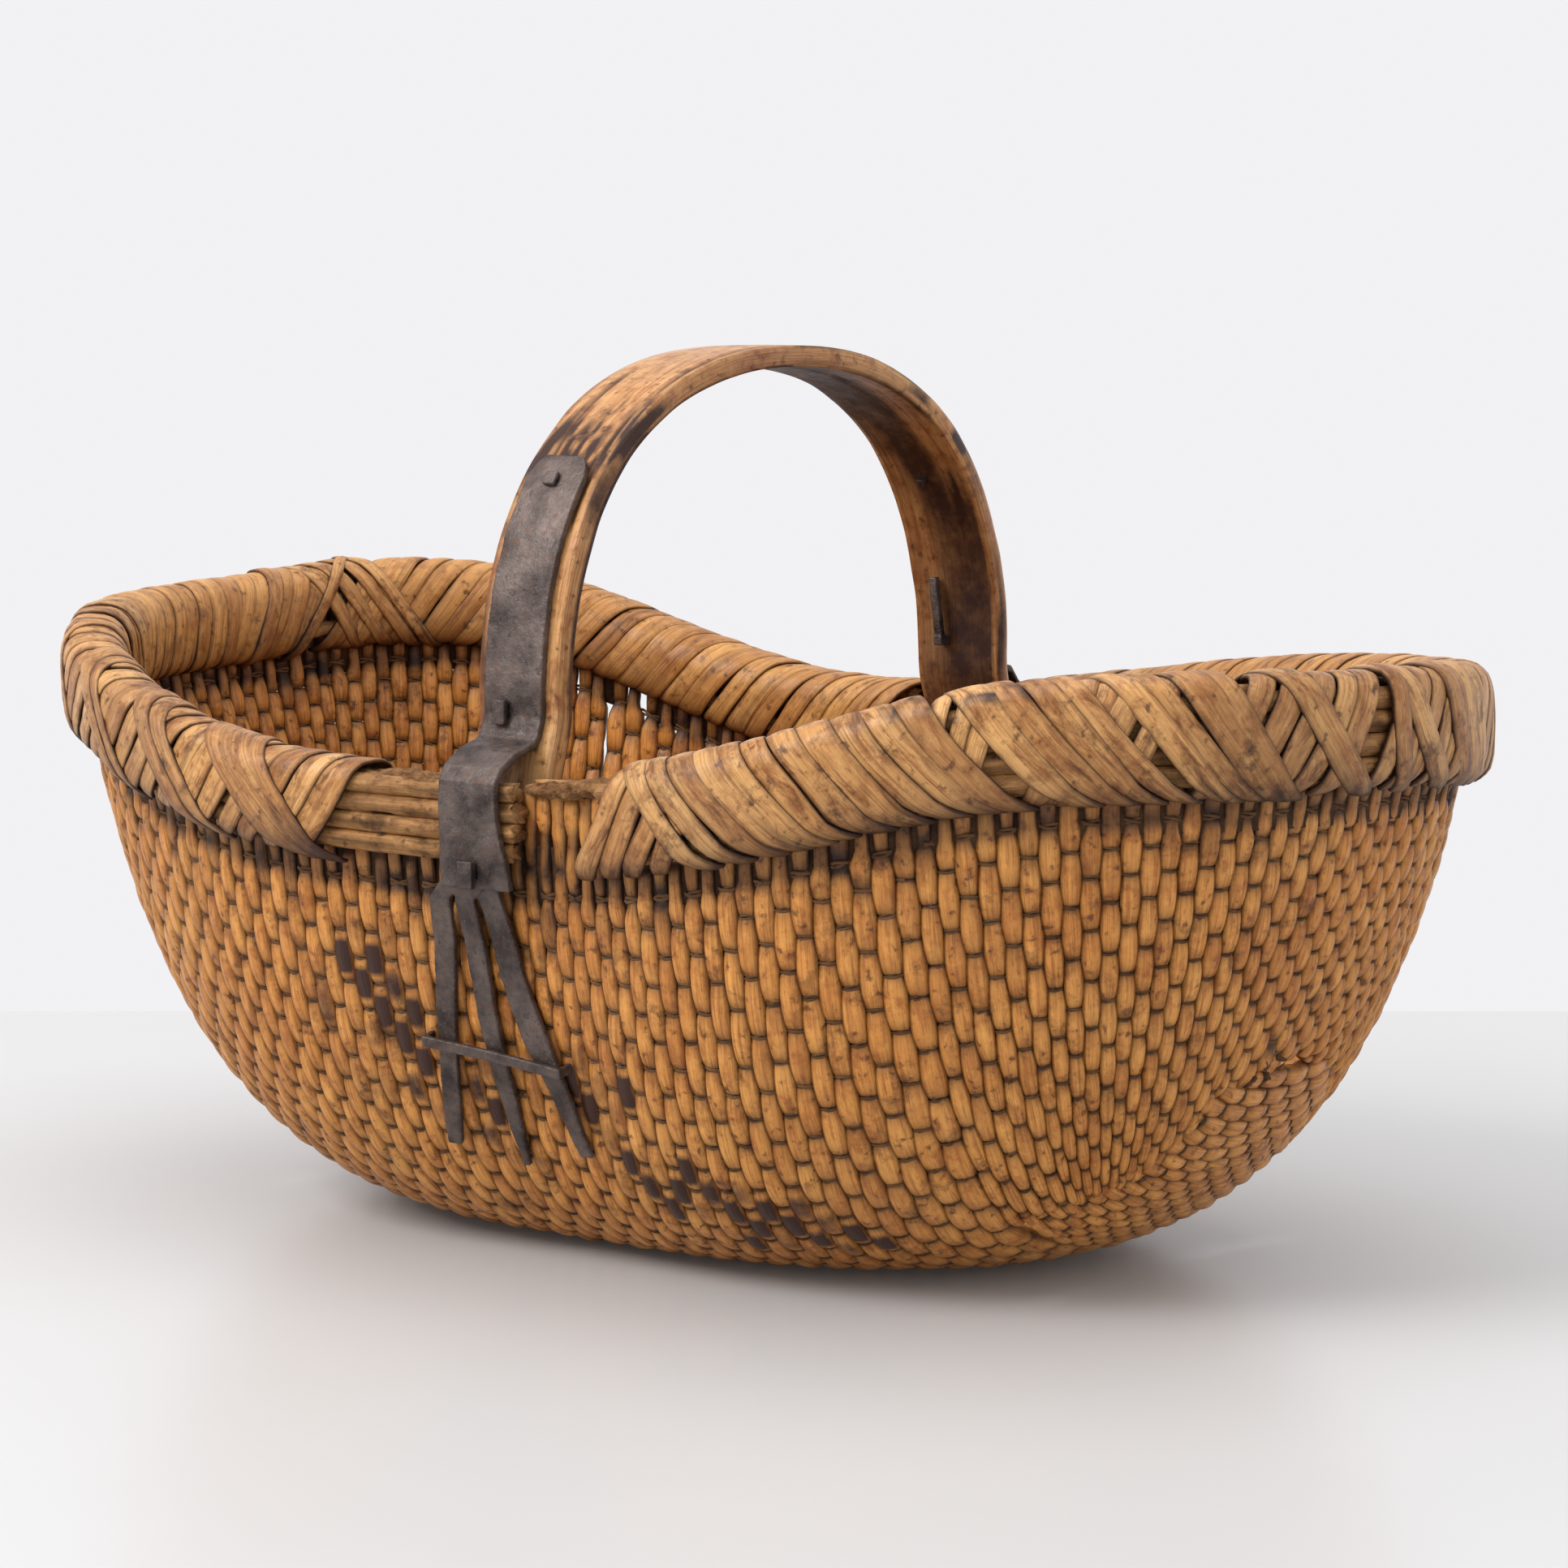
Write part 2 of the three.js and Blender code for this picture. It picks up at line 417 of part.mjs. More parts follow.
// ---------------------------------------------------------------- rim rods
function alongRim(u0, u1) {
  const list = [u0]; for (let u = Math.floor(u0) + 1; u < u1 - 0.02; u++) if (u - u0 > 0.02) list.push(u); list.push(u1); return list;
}
function rimRod(u0, u1, e, h, r = ROD_R) {
  const n = 6, us = alongRim(u0, u1);
  const sec = us.map((u) => Array.from({ length: n }, (_, i) => { const a = Math.PI * 2 * i / n; return band(u, e + r * Math.cos(a), h + r * Math.sin(a)); }));
  return loft(sec);
}
const near = (x) => stationAt(-1, x), far = (x) => stationAt(1, x);
// the four outer rods run once round, from under the right-hand wrapping past both ends to just beyond the near strap, where they are broken off
const BREAK = [26.5, 29.5, 31, 28.5], START = [71, 73, 72, 70];
ROD_Z.forEach((h, i) => add('rim_rod_outer_' + (i + 1), rimRod(near(START[i]), near(BREAK[i]) + STATIONS, ROD_OUT, h), ROD));
// inner rods and the rod over the wall edge stop at the handle legs
const L0 = far(-30), L1 = near(-52), R0 = near(70), R1 = far(37) + STATIONS;
add('rim_rod_inner_left_a', rimRod(L0 + 0.2, L1 - 0.2, ROD_IN, -9.8), ROD);
add('rim_rod_inner_left_b', rimRod(L0 + 0.25, L1 - 0.15, ROD_IN, 2.8), ROD);
add('rim_rod_inner_right_a', rimRod(R0 + 0.2, R1 - 0.2, ROD_IN, -9.8), ROD);
add('rim_rod_inner_right_b', rimRod(R0 + 0.15, R1 - 0.25, ROD_IN, 2.8), ROD);
add('rim_rod_top_left', rimRod(L0 + 0.15, L1 - 0.05, -0.9, 11.75, 3.2), ROD);
add('rim_rod_top_right', rimRod(R0 + 0.1, R1 - 0.15, -0.9, 11.75, 3.2), ROD);
add('rim_rod_fragment', rimRod(near(30), near(54), -0.6, 11.6, 2.9), ROD);

// ---------------------------------------------------------------- split-willow wrapping
const WRAP = [
  [3.3, -18.4], [9.2, -18.2], [12.3, -14.6], [12.5, -4], [12.4, 8.6], [11.2, 13.8], [6.8, 17.2], [0, 17.9], [-7, 16.6], [-11.8, 11.5],
  [-13.4, 4], [-13.4, -8], [-12.4, -15], [-9, -17.8], [-4.3, -18.4],
  [-4.3, -15.9], [-9.0, -15.6], [-11.2, -12.8], [-11.2, 3.8], [-9.9, 10.2], [-5.6, 14.5], [0, 15.4], [5.4, 14.9], [9.3, 12.4], [10.25, 8.6], [10.25, -13.6], [8.4, -16.35], [3.3, -16.4],
];
function wrapping(u0, u1) {
  const sec = alongRim(u0, u1).map((u) => WRAP.map(([e, h]) => band(u, e, h)));
  return loft(sec, WRAP.map((p) => new THREE.Vector2(...p)));
}
add('rim_binding_left', wrapping(L0, L1), SPLIT);
add('rim_binding_right', wrapping(R0 - 0.15, R1), SPLIT);

export default object;
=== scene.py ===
import bpy, math
import numpy as np
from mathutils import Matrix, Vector


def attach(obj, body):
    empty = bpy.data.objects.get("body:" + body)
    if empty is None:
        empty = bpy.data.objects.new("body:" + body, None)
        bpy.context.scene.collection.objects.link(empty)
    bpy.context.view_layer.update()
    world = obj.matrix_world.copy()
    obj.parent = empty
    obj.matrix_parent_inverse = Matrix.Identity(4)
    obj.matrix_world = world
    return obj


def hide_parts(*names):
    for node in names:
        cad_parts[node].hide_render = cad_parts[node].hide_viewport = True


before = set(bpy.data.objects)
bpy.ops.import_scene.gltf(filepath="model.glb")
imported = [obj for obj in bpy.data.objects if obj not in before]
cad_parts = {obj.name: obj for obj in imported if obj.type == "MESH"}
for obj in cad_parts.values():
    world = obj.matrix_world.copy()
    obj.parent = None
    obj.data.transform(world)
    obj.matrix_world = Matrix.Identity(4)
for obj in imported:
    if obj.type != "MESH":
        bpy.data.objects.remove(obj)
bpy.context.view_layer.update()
rng = np.random.default_rng(11)

# ------------------------------------------------------------------ basket surface (mm)
A, B, NN = 289., 174., 2.47
WAIST, WX, WW = .10, 6.7, 85.
RZ = np.array([210.4, 205.0, 201.1, 190.3, 181.2, 213.3, 226.4, 220.6, 214.4, 197.5, 175.0, 177.8, 205.5, 212.1])
BA, BB, BN, BY = 121., 72., 2.156, 5.
KS, KE = .855, .77
nk = len(RZ); hk = 2 * np.pi / nk
M_ = np.zeros((nk, nk)); r_ = np.zeros(nk)
for i in range(nk):
    M_[i, (i - 1) % nk] += 1; M_[i, i] += 4; M_[i, (i + 1) % nk] += 1
    r_[i] = 6 / (hk * hk) * (RZ[(i + 1) % nk] - 2 * RZ[i] + RZ[(i - 1) % nk])
KM = np.linalg.solve(M_, r_)


def rimh(th):
    a = np.mod(th, 2 * np.pi); i = np.minimum(nk - 1, (a / hk).astype(int)); j = (i + 1) % nk; u = a - i * hk; w = hk - u
    return (KM[i] * w**3 + KM[j] * u**3) / (6 * hk) + (RZ[i] / hk - KM[i] * hk / 6) * w + (RZ[j] / hk - KM[j] * hk / 6) * u


def sp(v, p): return np.sign(v) * np.abs(v)**p
def sch(x): return (17.7 + 2.2 * np.clip(x / 200, 0, 1)) / 18


def rim(th):
    c, s = np.cos(th), np.sin(th); x = A * sp(c, 2 / NN)
    y = B * sp(s, 2 / NN) * (1 - WAIST * np.exp(-((x - WX) / WW)**2))
    return np.stack([x, y, rimh(th)], -1)


def base(th):
    c, s = np.cos(th), np.sin(th)
    return np.stack([BA * sp(c, 2 / BN), BY + BB * sp(s, 2 / BN), 0 * c], -1)


def wall(th, t):
    Bt = base(th); P = rim(th); c2 = np.cos(th)**2; q = KS * (1 - c2) + KE * c2
    C = Bt + (P - Bt) * q[..., None]; a = (1 - t)**2; b = 2 * t * (1 - t); c = t * t
    xy = a[..., None] * Bt[..., :2] + b[..., None] * C[..., :2] + c[..., None] * P[..., :2]
    return np.concatenate([xy, (c * (P[..., 2] - 18 * sch(P[..., 0])))[..., None]], -1)


NPHI, NT = 1440, 161
tl = np.linspace(0, 1, NT)**0.8
thd = np.linspace(0, 2 * np.pi, 4001)[:-1]
PHI = np.linspace(-np.pi, np.pi, NPHI + 1)
RT = np.zeros((NPHI + 1, NT)); TT = np.zeros((NPHI + 1, NT))
for j, t in enumerate(tl):
    P = wall(thd, np.full_like(thd, t)); dx, dy = P[:, 0], P[:, 1] - BY
    ph = np.arctan2(dy, dx); r = np.hypot(dx, dy); o = np.argsort(ph)
    ph, r = ph[o], r[o]; d = np.mod(thd[o] - ph + np.pi, 2 * np.pi) - np.pi
    phe = np.concatenate([ph[-3:] - 2 * np.pi, ph, ph[:3] + 2 * np.pi])
    RT[:, j] = np.interp(PHI, phe, np.concatenate([r[-3:], r, r[:3]]))
    TT[:, j] = np.interp(PHI, phe, np.concatenate([d[-3:], d, d[:3]]))


def locate(x, y):
    dx, dy = x, y - BY; ph = np.arctan2(dy, dx); r = np.hypot(dx, dy)
    fi = (ph + np.pi) / (2 * np.pi) * NPHI; i = np.clip(fi.astype(int), 0, NPHI - 1); f = fi - i
    R = RT[i] * (1 - f)[..., None] + RT[i + 1] * f[..., None]; D = TT[i] * (1 - f)[..., None] + TT[i + 1] * f[..., None]
    j = np.clip((R <= r[..., None]).sum(-1) - 1, 0, NT - 2)
    a = np.take_along_axis(R, j[..., None], -1)[..., 0]; b = np.take_along_axis(R, j[..., None] + 1, -1)[..., 0]
    g = np.clip((r - a) / np.maximum(b - a, 1e-9), 0, 1); flat = r < R[..., 0]
    t = tl[j] + (tl[j + 1] - tl[j]) * g
    d = np.take_along_axis(D, j[..., None], -1)[..., 0] * (1 - g) + np.take_along_axis(D, j[..., None] + 1, -1)[..., 0] * g
    return ph + d, np.where(flat, -1, t)


def normal(th, t):
    tt = np.clip(t, 0.02, .999); e = 1e-3
    n = np.cross(wall(th + e, tt) - wall(th - e, tt), wall(th, tt + e) - wall(th, tt - e))
    n /= np.linalg.norm(n, axis=-1, keepdims=True)
    f = np.clip(t / .02, 0, 1)[..., None]
    n = n * f + np.array([0, 0, -1.]) * (1 - f)
    return n / np.linalg.norm(n, axis=-1, keepdims=True)


def surf(x, y):
    """Outer wall face over a plan point: place and outward normal."""
    th, t = locate(x, y); P = wall(th, np.maximum(t, 0)); n = normal(th, t)
    P = np.stack([x, y, np.where(t < 0, 0, P[..., 2])], -1)
    return P, n, t


# rim by arc length from the +X tip towards +Y, in mm
_th = np.linspace(-np.pi, np.pi, 12001); _r = rim(_th)
_s = np.concatenate([[0], np.cumsum(np.linalg.norm(np.diff(_r, axis=0), axis=1))])
_s -= np.interp(0, _th, _s); LR = _s[-1] - _s[0]
_d = np.gradient(_r, axis=0); _d[:, 2] = 0; _d /= np.linalg.norm(_d, axis=1, keepdims=True)
_o = np.stack([_d[:, 1], -_d[:, 0], 0 * _d[:, 0]], -1)


def rimframe(s):
    s = np.mod(np.asarray(s, float) - _s[0], LR) + _s[0]
    R = np.stack([np.interp(s, _s, _r[:, k]) for k in range(3)], -1)
    O = np.stack([np.interp(s, _s, _o[:, k]) for k in range(3)], -1)
    O /= np.maximum(np.linalg.norm(O, axis=-1, keepdims=True), 1e-9)
    return R, O


def band(s, e, h):
    R, O = rimframe(s)
    return R + O * np.asarray(e)[..., None] + (np.asarray(h) * sch(R[..., 0]))[..., None] * np.array([0, 0, 1.])


def thx(x, side):
    c = np.sign(x) * (np.abs(x) / A)**(NN / 2)
    return side * np.arccos(c)


def s_at(side, x): return float(np.interp(thx(np.float64(x), side), _th, _s))


# ------------------------------------------------------------------ noise
def hsh(*a):
    v = np.sin(sum(np.asarray(x, float) * k for x, k in zip(a, (12.9898, 78.233, 37.719, 4.581))) + 1.7) * 43758.5453
    return v - np.floor(v)


def vn(P, f):
    q = np.asarray(P) * f; i = np.floor(q); w = q - i; w = w * w * (3 - 2 * w); out = 0
    for a in (0, 1):
        for b in (0, 1):
            for c in (0, 1):
                g = (w[..., 0] if a else 1 - w[..., 0]) * (w[..., 1] if b else 1 - w[..., 1]) * (w[..., 2] if c else 1 - w[..., 2])
                out = out + g * hsh(i[..., 0] + a, i[..., 1] + b, i[..., 2] + c)
    return out * 2 - 1


# ------------------------------------------------------------------ mesh building
class Acc:
    def __init__(s): s.V, s.F4, s.F3, s.A, s.n = [], [], [], {}, 0

    def loft(s, S, att, cap=True):
        M, K = S.shape[:2]; idx = np.arange(M * K).reshape(M, K)
        a = idx[:-1]; b = np.roll(a, -1, 1); c = idx[1:]; d = np.roll(c, -1, 1)
        F4 = np.stack([a, b, d, c], -1).reshape(-1, 4); V = S.reshape(-1, 3); F3 = np.zeros((0, 3), int)
        cen = S.mean(1)
        va, vb, vc = V[F4[:, 0]], V[F4[:, 1]], V[F4[:, 2]]
        fc = (va + vc) / 2; ci = np.repeat(cen[:-1], K, 0)
        sign = np.einsum('ij,ij->i', np.cross(vb - va, vc - va), fc - ci).sum()
        if cap:
            k = np.arange(K); k1 = (k + 1) % K; n = M * K
            F3 = np.concatenate([np.stack([0 * k + n, k1, k], -1), np.stack([0 * k + n + 1, (M - 1) * K + k, (M - 1) * K + k1], -1)])
            V = np.concatenate([V, S[0].mean(0)[None], S[-1].mean(0)[None]])
        if sign < 0: F4 = F4[:, ::-1]; F3 = F3[:, ::-1]
        s.V.append(V); s.F4.append(F4 + s.n); s.F3.append(F3 + s.n)
        for q, v in att.items():
            v = np.asarray(v, float)
            v = np.broadcast_to(v, (M, K) if q != 'fib' else (M, K, 3))
            f = v.reshape(M * K, *v.shape[2:])
            if cap: f = np.concatenate([f, v[0].mean(0)[None], v[-1].mean(0)[None]])
            s.A.setdefault(q, []).append(f)
        s.n += len(V)

    def build(s, name, mat, slot, rep=()):
        V = np.concatenate(s.V) / 1000; F4 = np.concatenate(s.F4); F3 = np.concatenate(s.F3)
        me = bpy.data.meshes.new(name)
        me.vertices.add(len(V)); me.vertices.foreach_set('co', V.astype(np.float32).ravel())
        L = np.concatenate([F4.ravel(), F3.ravel()]).astype(np.int32)
        st = np.concatenate([np.arange(len(F4)) * 4, len(F4) * 4 + np.arange(len(F3)) * 3]).astype(np.int32)
        me.loops.add(len(L)); me.loops.foreach_set('vertex_index', L)
        me.polygons.add(len(st)); me.polygons.foreach_set('loop_start', st)
        me.polygons.foreach_set('use_smooth', np.ones(len(st), bool))
        for q, v in s.A.items():
            v = np.concatenate(v).astype(np.float32)
            if q == 'fib': me.attributes.new(q, 'FLOAT_VECTOR', 'POINT').data.foreach_set('vector', v.ravel())
            else: me.attributes.new(q, 'FLOAT', 'POINT').data.foreach_set('value', v)
        me.update(calc_edges=True); me.validate()
        ob = bpy.data.objects.new(name, me); bpy.context.scene.collection.objects.link(ob)
        me.materials.append(mat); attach(ob, "root")
        if rep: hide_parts(*rep)
        return ob


def tangents(P):
    T = np.gradient(P, axis=0); return T / np.maximum(np.linalg.norm(T, axis=-1, keepdims=True), 1e-9)


# ------------------------------------------------------------------ materials
def col(r, g, b):
    f = lambda v: (v / 255 / 12.92) if v / 255 <= .04045 else ((v / 255 + .055) / 1.055)**2.4
    return (f(r), f(g), f(b), 1)


class T:
    def __init__(s, name):
        s.m = bpy.data.materials.new(name); s.m.use_nodes = True; s.t = s.m.node_tree; s.t.nodes.clear()
        s.out = s.t.nodes.new('ShaderNodeOutputMaterial'); s.b = s.t.nodes.new('ShaderNodeBsdfPrincipled')
        s.t.links.new(s.b.outputs[0], s.out.inputs[0])

    def put(s, sock, v):
        if isinstance(v, bpy.types.NodeSocket): s.t.links.new(v, sock)
        else: sock.default_value = v

    def attr(s, name, vec=False):
        n = s.t.nodes.new('ShaderNodeAttribute'); n.attribute_name = name; return n.outputs['Vector' if vec else 'Fac']

    def math(s, op, a, b=None, clamp=False):
        n = s.t.nodes.new('ShaderNodeMath'); n.operation = op; n.use_clamp = clamp; s.put(n.inputs[0], a)
        if b is not None: s.put(n.inputs[1], b)
        return n.outputs[0]

    def scale(s, v, k):
        n = s.t.nodes.new('ShaderNodeVectorMath'); n.operation = 'MULTIPLY'; s.put(n.inputs[0], v); n.inputs[1].default_value = k; return n.outputs[0]

    def noise(s, vec, sc, det=3., rough=.5, dist=0.):
        n = s.t.nodes.new('ShaderNodeTexNoise'); s.put(n.inputs['Vector'], vec); n.inputs['Scale'].default_value = sc
        n.inputs['Detail'].default_value = det; n.inputs['Roughness'].default_value = rough; n.inputs['Distortion'].default_value = dist
        return n.outputs['Fac']

    def obj(s):
        return s.t.nodes.new('ShaderNodeTexCoord').outputs['Object']

    def rng(s, v, a, b, c=0., d=1.):
        n = s.t.nodes.new('ShaderNodeMapRange'); n.clamp = True; s.put(n.inputs[0], v)
        for k, x in zip((1, 2, 3, 4), (a, b, c, d)): n.inputs[k].default_value = x
        return n.outputs[0]

    def mix(s, f, a, b, mode='MIX'):
        n = s.t.nodes.new('ShaderNodeMix'); n.data_type = 'RGBA'; n.blend_type = mode
        s.put(n.inputs[0], f); s.put(n.inputs[6], a); s.put(n.inputs[7], b); return n.outputs[2]

    def bump(s, hgt, strength, dist, nrm=None):
        n = s.t.nodes.new('ShaderNodeBump'); s.put(n.inputs['Height'], hgt); n.inputs['Strength'].default_value = strength
        n.inputs['Distance'].default_value = dist
        if nrm is not None: s.put(n.inputs['Normal'], nrm)
        return n.outputs[0]


def wood(name, light, mid, deep, darkc, rough=(.42, .62), fine=1.0, blot=.35, grey=.25, stain=.3, coat=0.):
    t = T(name); fib = t.attr('fib', True); tone = t.attr('tone'); dark = t.attr('dark'); burn = t.attr('burn')
    streak = t.noise(t.scale(fib, (.035 * fine, .9 * fine, 1.)), 1., 5., .62, .25)
    fines = t.noise(t.scale(fib, (.12 * fine, 3.2 * fine, 1.)), 1., 3., .6)
    big = t.noise(t.obj(), 22., 4., .6); spot = t.noise(t.obj(), 260., 3., .55)
    spot2 = t.noise(t.obj(), 75., 5., .7)
    c = t.mix(t.rng(tone, 0., 1., .22, 1.), deep, light)
    c = t.mix(t.rng(big, .3, .72, 0., .65), c, mid)
    c = t.mix(t.rng(streak, .48, .68, 0., .70), c, deep)
    blotch = t.noise(t.obj(), 130., 4., .65, .3)
    c = t.mix(t.rng(blotch, .50, .66, 0., .65), c, deep)
    c = t.mix(t.rng(blotch, .44, .28, 0., .45), c, light)
    c = t.mix(t.rng(streak, .46, .25, 0., .45), c, light)
    c = t.mix(t.rng(fines, .53, .72, 0., .45), c, darkc)
    c = t.mix(t.rng(spot2, .57, .70, 0., blot), c, darkc)
    c = t.mix(t.rng(spot, .61, .71, 0., .7), c, darkc)
    st = t.noise(t.scale(fib, (.06, .16, 1.)), 1., 6., .72, .6)
    c = t.mix(t.rng(st, .49, .64, 0., stain), c, deep)
    c = t.mix(t.rng(st, .58, .72, 0., stain * .85), c, darkc)
    c = t.mix(t.rng(big, .60, .40, 0., grey), c, col(158, 124, 88))
    # the dark attribute mixes in darkc: painted shade in the crevices and gaps between rods and strips, on strip
    # undersides and on the sheet behind the rod tops, together with real stains, cracks and frayed ends
    dk = t.math('MULTIPLY', dark, t.rng(spot2, .2, .8, .78, 1.15), clamp=True)
    c = t.mix(dk, c, darkc)
    c = t.mix(t.rng(t.math('ADD', burn, t.rng(spot2, .3, .7, -.16, .16)), .15, .74), c, col(54, 25, 11))
    t.put(t.b.inputs['Base Color'], c)
    r = t.rng(spot2, .3, .7, rough[0], rough[1]); r = t.math('ADD', r, t.math('MULTIPLY', dark, .25), clamp=True)
    t.put(t.b.inputs['Roughness'], r)
    h = t.math('ADD', t.math('MULTIPLY', streak, .7), t.math('MULTIPLY', fines, .35))
    t.put(t.b.inputs['Normal'], t.bump(t.math('ADD', h, t.math('MULTIPLY', spot2, .4)), .75, .0008))
    t.b.inputs['Specular IOR Level'].default_value = .32
    t.b.inputs['Coat Weight'].default_value = coat; t.b.inputs['Coat Roughness'].default_value = .20
    return t.m


willow = wood('willow_rods', col(240, 174, 90), col(212, 136, 58), col(150, 80, 26), col(38, 17, 6), rough=(.24, .40), grey=.03, blot=.6, coat=.06)
split = wood('split_willow', col(234, 182, 116), col(206, 144, 78), col(136, 80, 34), col(46, 23, 10), rough=(.26, .46), fine=.7, blot=.9, grey=.08, stain=.85, coat=.05)
splitin = wood('split_willow_inside', col(222, 166, 96), col(202, 142, 74), col(150, 92, 42), col(48, 25, 11), rough=(.26, .42), fine=.6, blot=.6, grey=.06, stain=.55, coat=.05)
rodm = wood('rim_rods', col(210, 160, 98), col(174, 122, 68), col(118, 76, 40), col(46, 29, 17), rough=(.5, .8), blot=.8, grey=.1, stain=.7)
string = wood('hemp_string', col(150, 108, 70), col(116, 78, 48), col(86, 56, 34), col(36, 24, 16), rough=(.8, .95), fine=2.)
bowm = wood('handle_wood', col(230, 180, 118), col(212, 154, 92), col(140, 72, 30), col(44, 19, 9), rough=(.22, .42), fine=.5, blot=.6, grey=.06, stain=.4, coat=.05)


def iron_mat():
    t = T('forged_iron'); o = t.obj()
    n1 = t.noise(o, 60., 6., .65); n2 = t.noise(o, 320., 5., .7); n3 = t.noise(o, 1100., 3., .6)
    c = t.mix(t.rng(n1, .35, .68), col(50, 42, 40), col(112, 98, 92))
    c = t.mix(t.rng(n2, .55, .68, 0., .6), c, col(104, 66, 48))
    c = t.mix(t.rng(n2, .44, .30, 0., .7), c, col(34, 29, 28))
    c = t.mix(t.rng(n3, .60, .75, 0., .5), c, col(132, 112, 100))
    t.put(t.b.inputs['Base Color'], c); t.b.inputs['Metallic'].default_value = .6
    t.put(t.b.inputs['Roughness'], t.rng(n2, .3, .7, .34, .62))
    t.put(t.b.inputs['Normal'], t.bump(t.math('ADD', n2, t.math('MULTIPLY', n3, .4)), .6, .0008))
    return t.m


iron = iron_mat()

# ------------------------------------------------------------------ woven rods
MID = -3.2; GLO, GHI = 1.1, 3.5
FR = np.array([0, .10, .26, .5, .74, .90])
SX = float(np.interp(-190.35, _s, _r[:, 0]))
NJ = 26; PITCH = SX / (NJ + .5)
KTOT = 54
BLOBS = [(-51, 54, 6, 14), (-39, 75, 5, 16), (-10, 95, 3, 15), (12, 80, 3, 6), (36, 83, 6, 10), (46, 94, 3, 8), (52, 90, 3, 6), (64, 88, 2.5, 6),
         (70, 129, 6, 8), (84, 124, 6, 9), (98, 134, 6, 8), (110, 143, 6, 8), (124, 153, 6, 10), (138, 162, 5, 7), (58, 118, 4, 6), (104, 160, 4, 5), (150, 168, 4, 4), (-66, 44, 3, 7)]


def bul(phi, p): return np.abs(np.sin(np.pi * (phi - p) / 2))**.42


def build_rod(acc, P, Nn, wloc, s, phi, par, rid, top0=None, top1=None, burnf=None, K=10, taper=None):
    """P,Nn centre-surface points; wloc neighbour pitch; phi rows; par parity."""
    M = len(P); Tn = tangents(P); Bn = np.cross(Tn, Nn); Bn /= np.linalg.norm(Bn, axis=-1, keepdims=True)
    oid = np.floor((phi - par) / 2); iid = np.floor((phi - par - 1) / 2)
    go, gi = bul(phi, par), bul(phi, par + 1)
    jo = .86 + .28 * hsh(oid, rid); ji = .86 + .28 * hsh(iid, rid + 50)
    Go = GLO + (GHI - GLO) * go * jo; Gi = GLO + (GHI - GLO) * gi * ji
    wo = wloc * .5 * (.84 + .31 * go * (.9 + .2 * hsh(oid, rid, 3.))); wi = wloc * .5 * (.84 + .31 * gi)
    fray = np.zeros(M)
    for tp in (top0, top1):
        if tp is not None:
            f = np.clip((13 + 5 * hsh(rid, 9.) - np.abs(tp)) / 5, 0, 1); fray = np.maximum(fray, f)
    k = 1 - fray * (.12 + .26 * hsh(rid, 4.)); Go = Go * (1 - .25 * fray); wo = wo * k; wi = wi * k
    side = (hsh(rid, 6.) - .5) * 1.5 * fray + .35 * (hsh(oid, rid, 5.) - .5)
    th = np.arange(K) * 2 * np.pi / K; ct, st = np.cos(th), np.sin(th)
    oa = np.where(ct[None] >= -1e-6, Go[:, None] * sp(ct, .72)[None], -Gi[:, None] * np.abs(ct[None])**.72)
    wm = np.where(ct[None] > .05, wo[:, None], np.where(ct[None] < -.05, wi[:, None], .5 * (wo + wi)[:, None]))
    ob = wm * sp(st, .82)[None] + side[:, None]
    if taper is not None: oa = oa * taper[:, None]; ob = ob * taper[:, None]
    tilt = (hsh(oid, rid, 8.) - .5) * .22
    oa = oa + tilt[:, None] * ob * .5 * go[:, None]
    S = P[:, None] + Nn[:, None] * (MID + oa)[..., None] + Bn[:, None] * ob[..., None]
    S[..., 2] = np.maximum(S[..., 2], .05)
    # painted shade: the rod darkens where its bulge sinks under the string (gg) and along both sides where it meets the
    # neighbouring rods (up, dn); frayed ends are darker too
    up = np.clip(ct, 0, 1)[None]; dn = np.clip(-ct, 0, 1)[None]
    gg = np.where(ct[None] >= 0, go[:, None], gi[:, None])
    dark = 1.0 * (1 - gg)**1.3 + 1.0 * (1 - np.maximum(up, dn))**1.55 + .25 * fray[:, None] + .35 * fray[:, None] * hsh(rid, 11.)
    tone = np.where(ct[None] >= 0, hsh(oid, rid, 1.)[:, None], hsh(iid, rid, 2.)[:, None]) * .38 + .20 * hsh(rid, 3.) + .42 * (.5 + .5 * vn(P, .022))[:, None]
    for tp in (top0, top1):
        if tp is not None: dark = dark + (.75 * np.exp(-((tp - 12) / (6 + 12 * hsh(rid, 14.)))**2) * np.clip(hsh(rid, 13.) * 1.6 - .5, 0, 1))[:, None] * np.clip(.4 + 1.1 * vn(np.stack([tp * .10, st[0] + 0 * tp, rid + 0 * tp], -1), 1.), 0, 1)[:, None]
    burn = np.zeros((M, 1)) if burnf is None else np.clip(burnf[:, None] * 1.7, 0, 1) * np.clip((ct[None] - .22) / .5, 0, 1)
    fib = np.stack([np.broadcast_to(s[:, None], (M, K)), np.broadcast_to(st[None] * 3.4, (M, K)) + 0 * ob, np.full((M, K), rid * 7.3)], -1)
    acc.loft(S, dict(fib=fib, tone=tone, dark=np.clip(dark, 0, 1), burn=burn + 0 * dark))


def resample(s, arrs, sn): return [np.stack([np.interp(sn, s, a[:, k]) for k in range(a.shape[1])], -1) if a.ndim == 2 else np.interp(sn, s, a) for a in arrs]


def H_(*a): return float(hsh(*a))


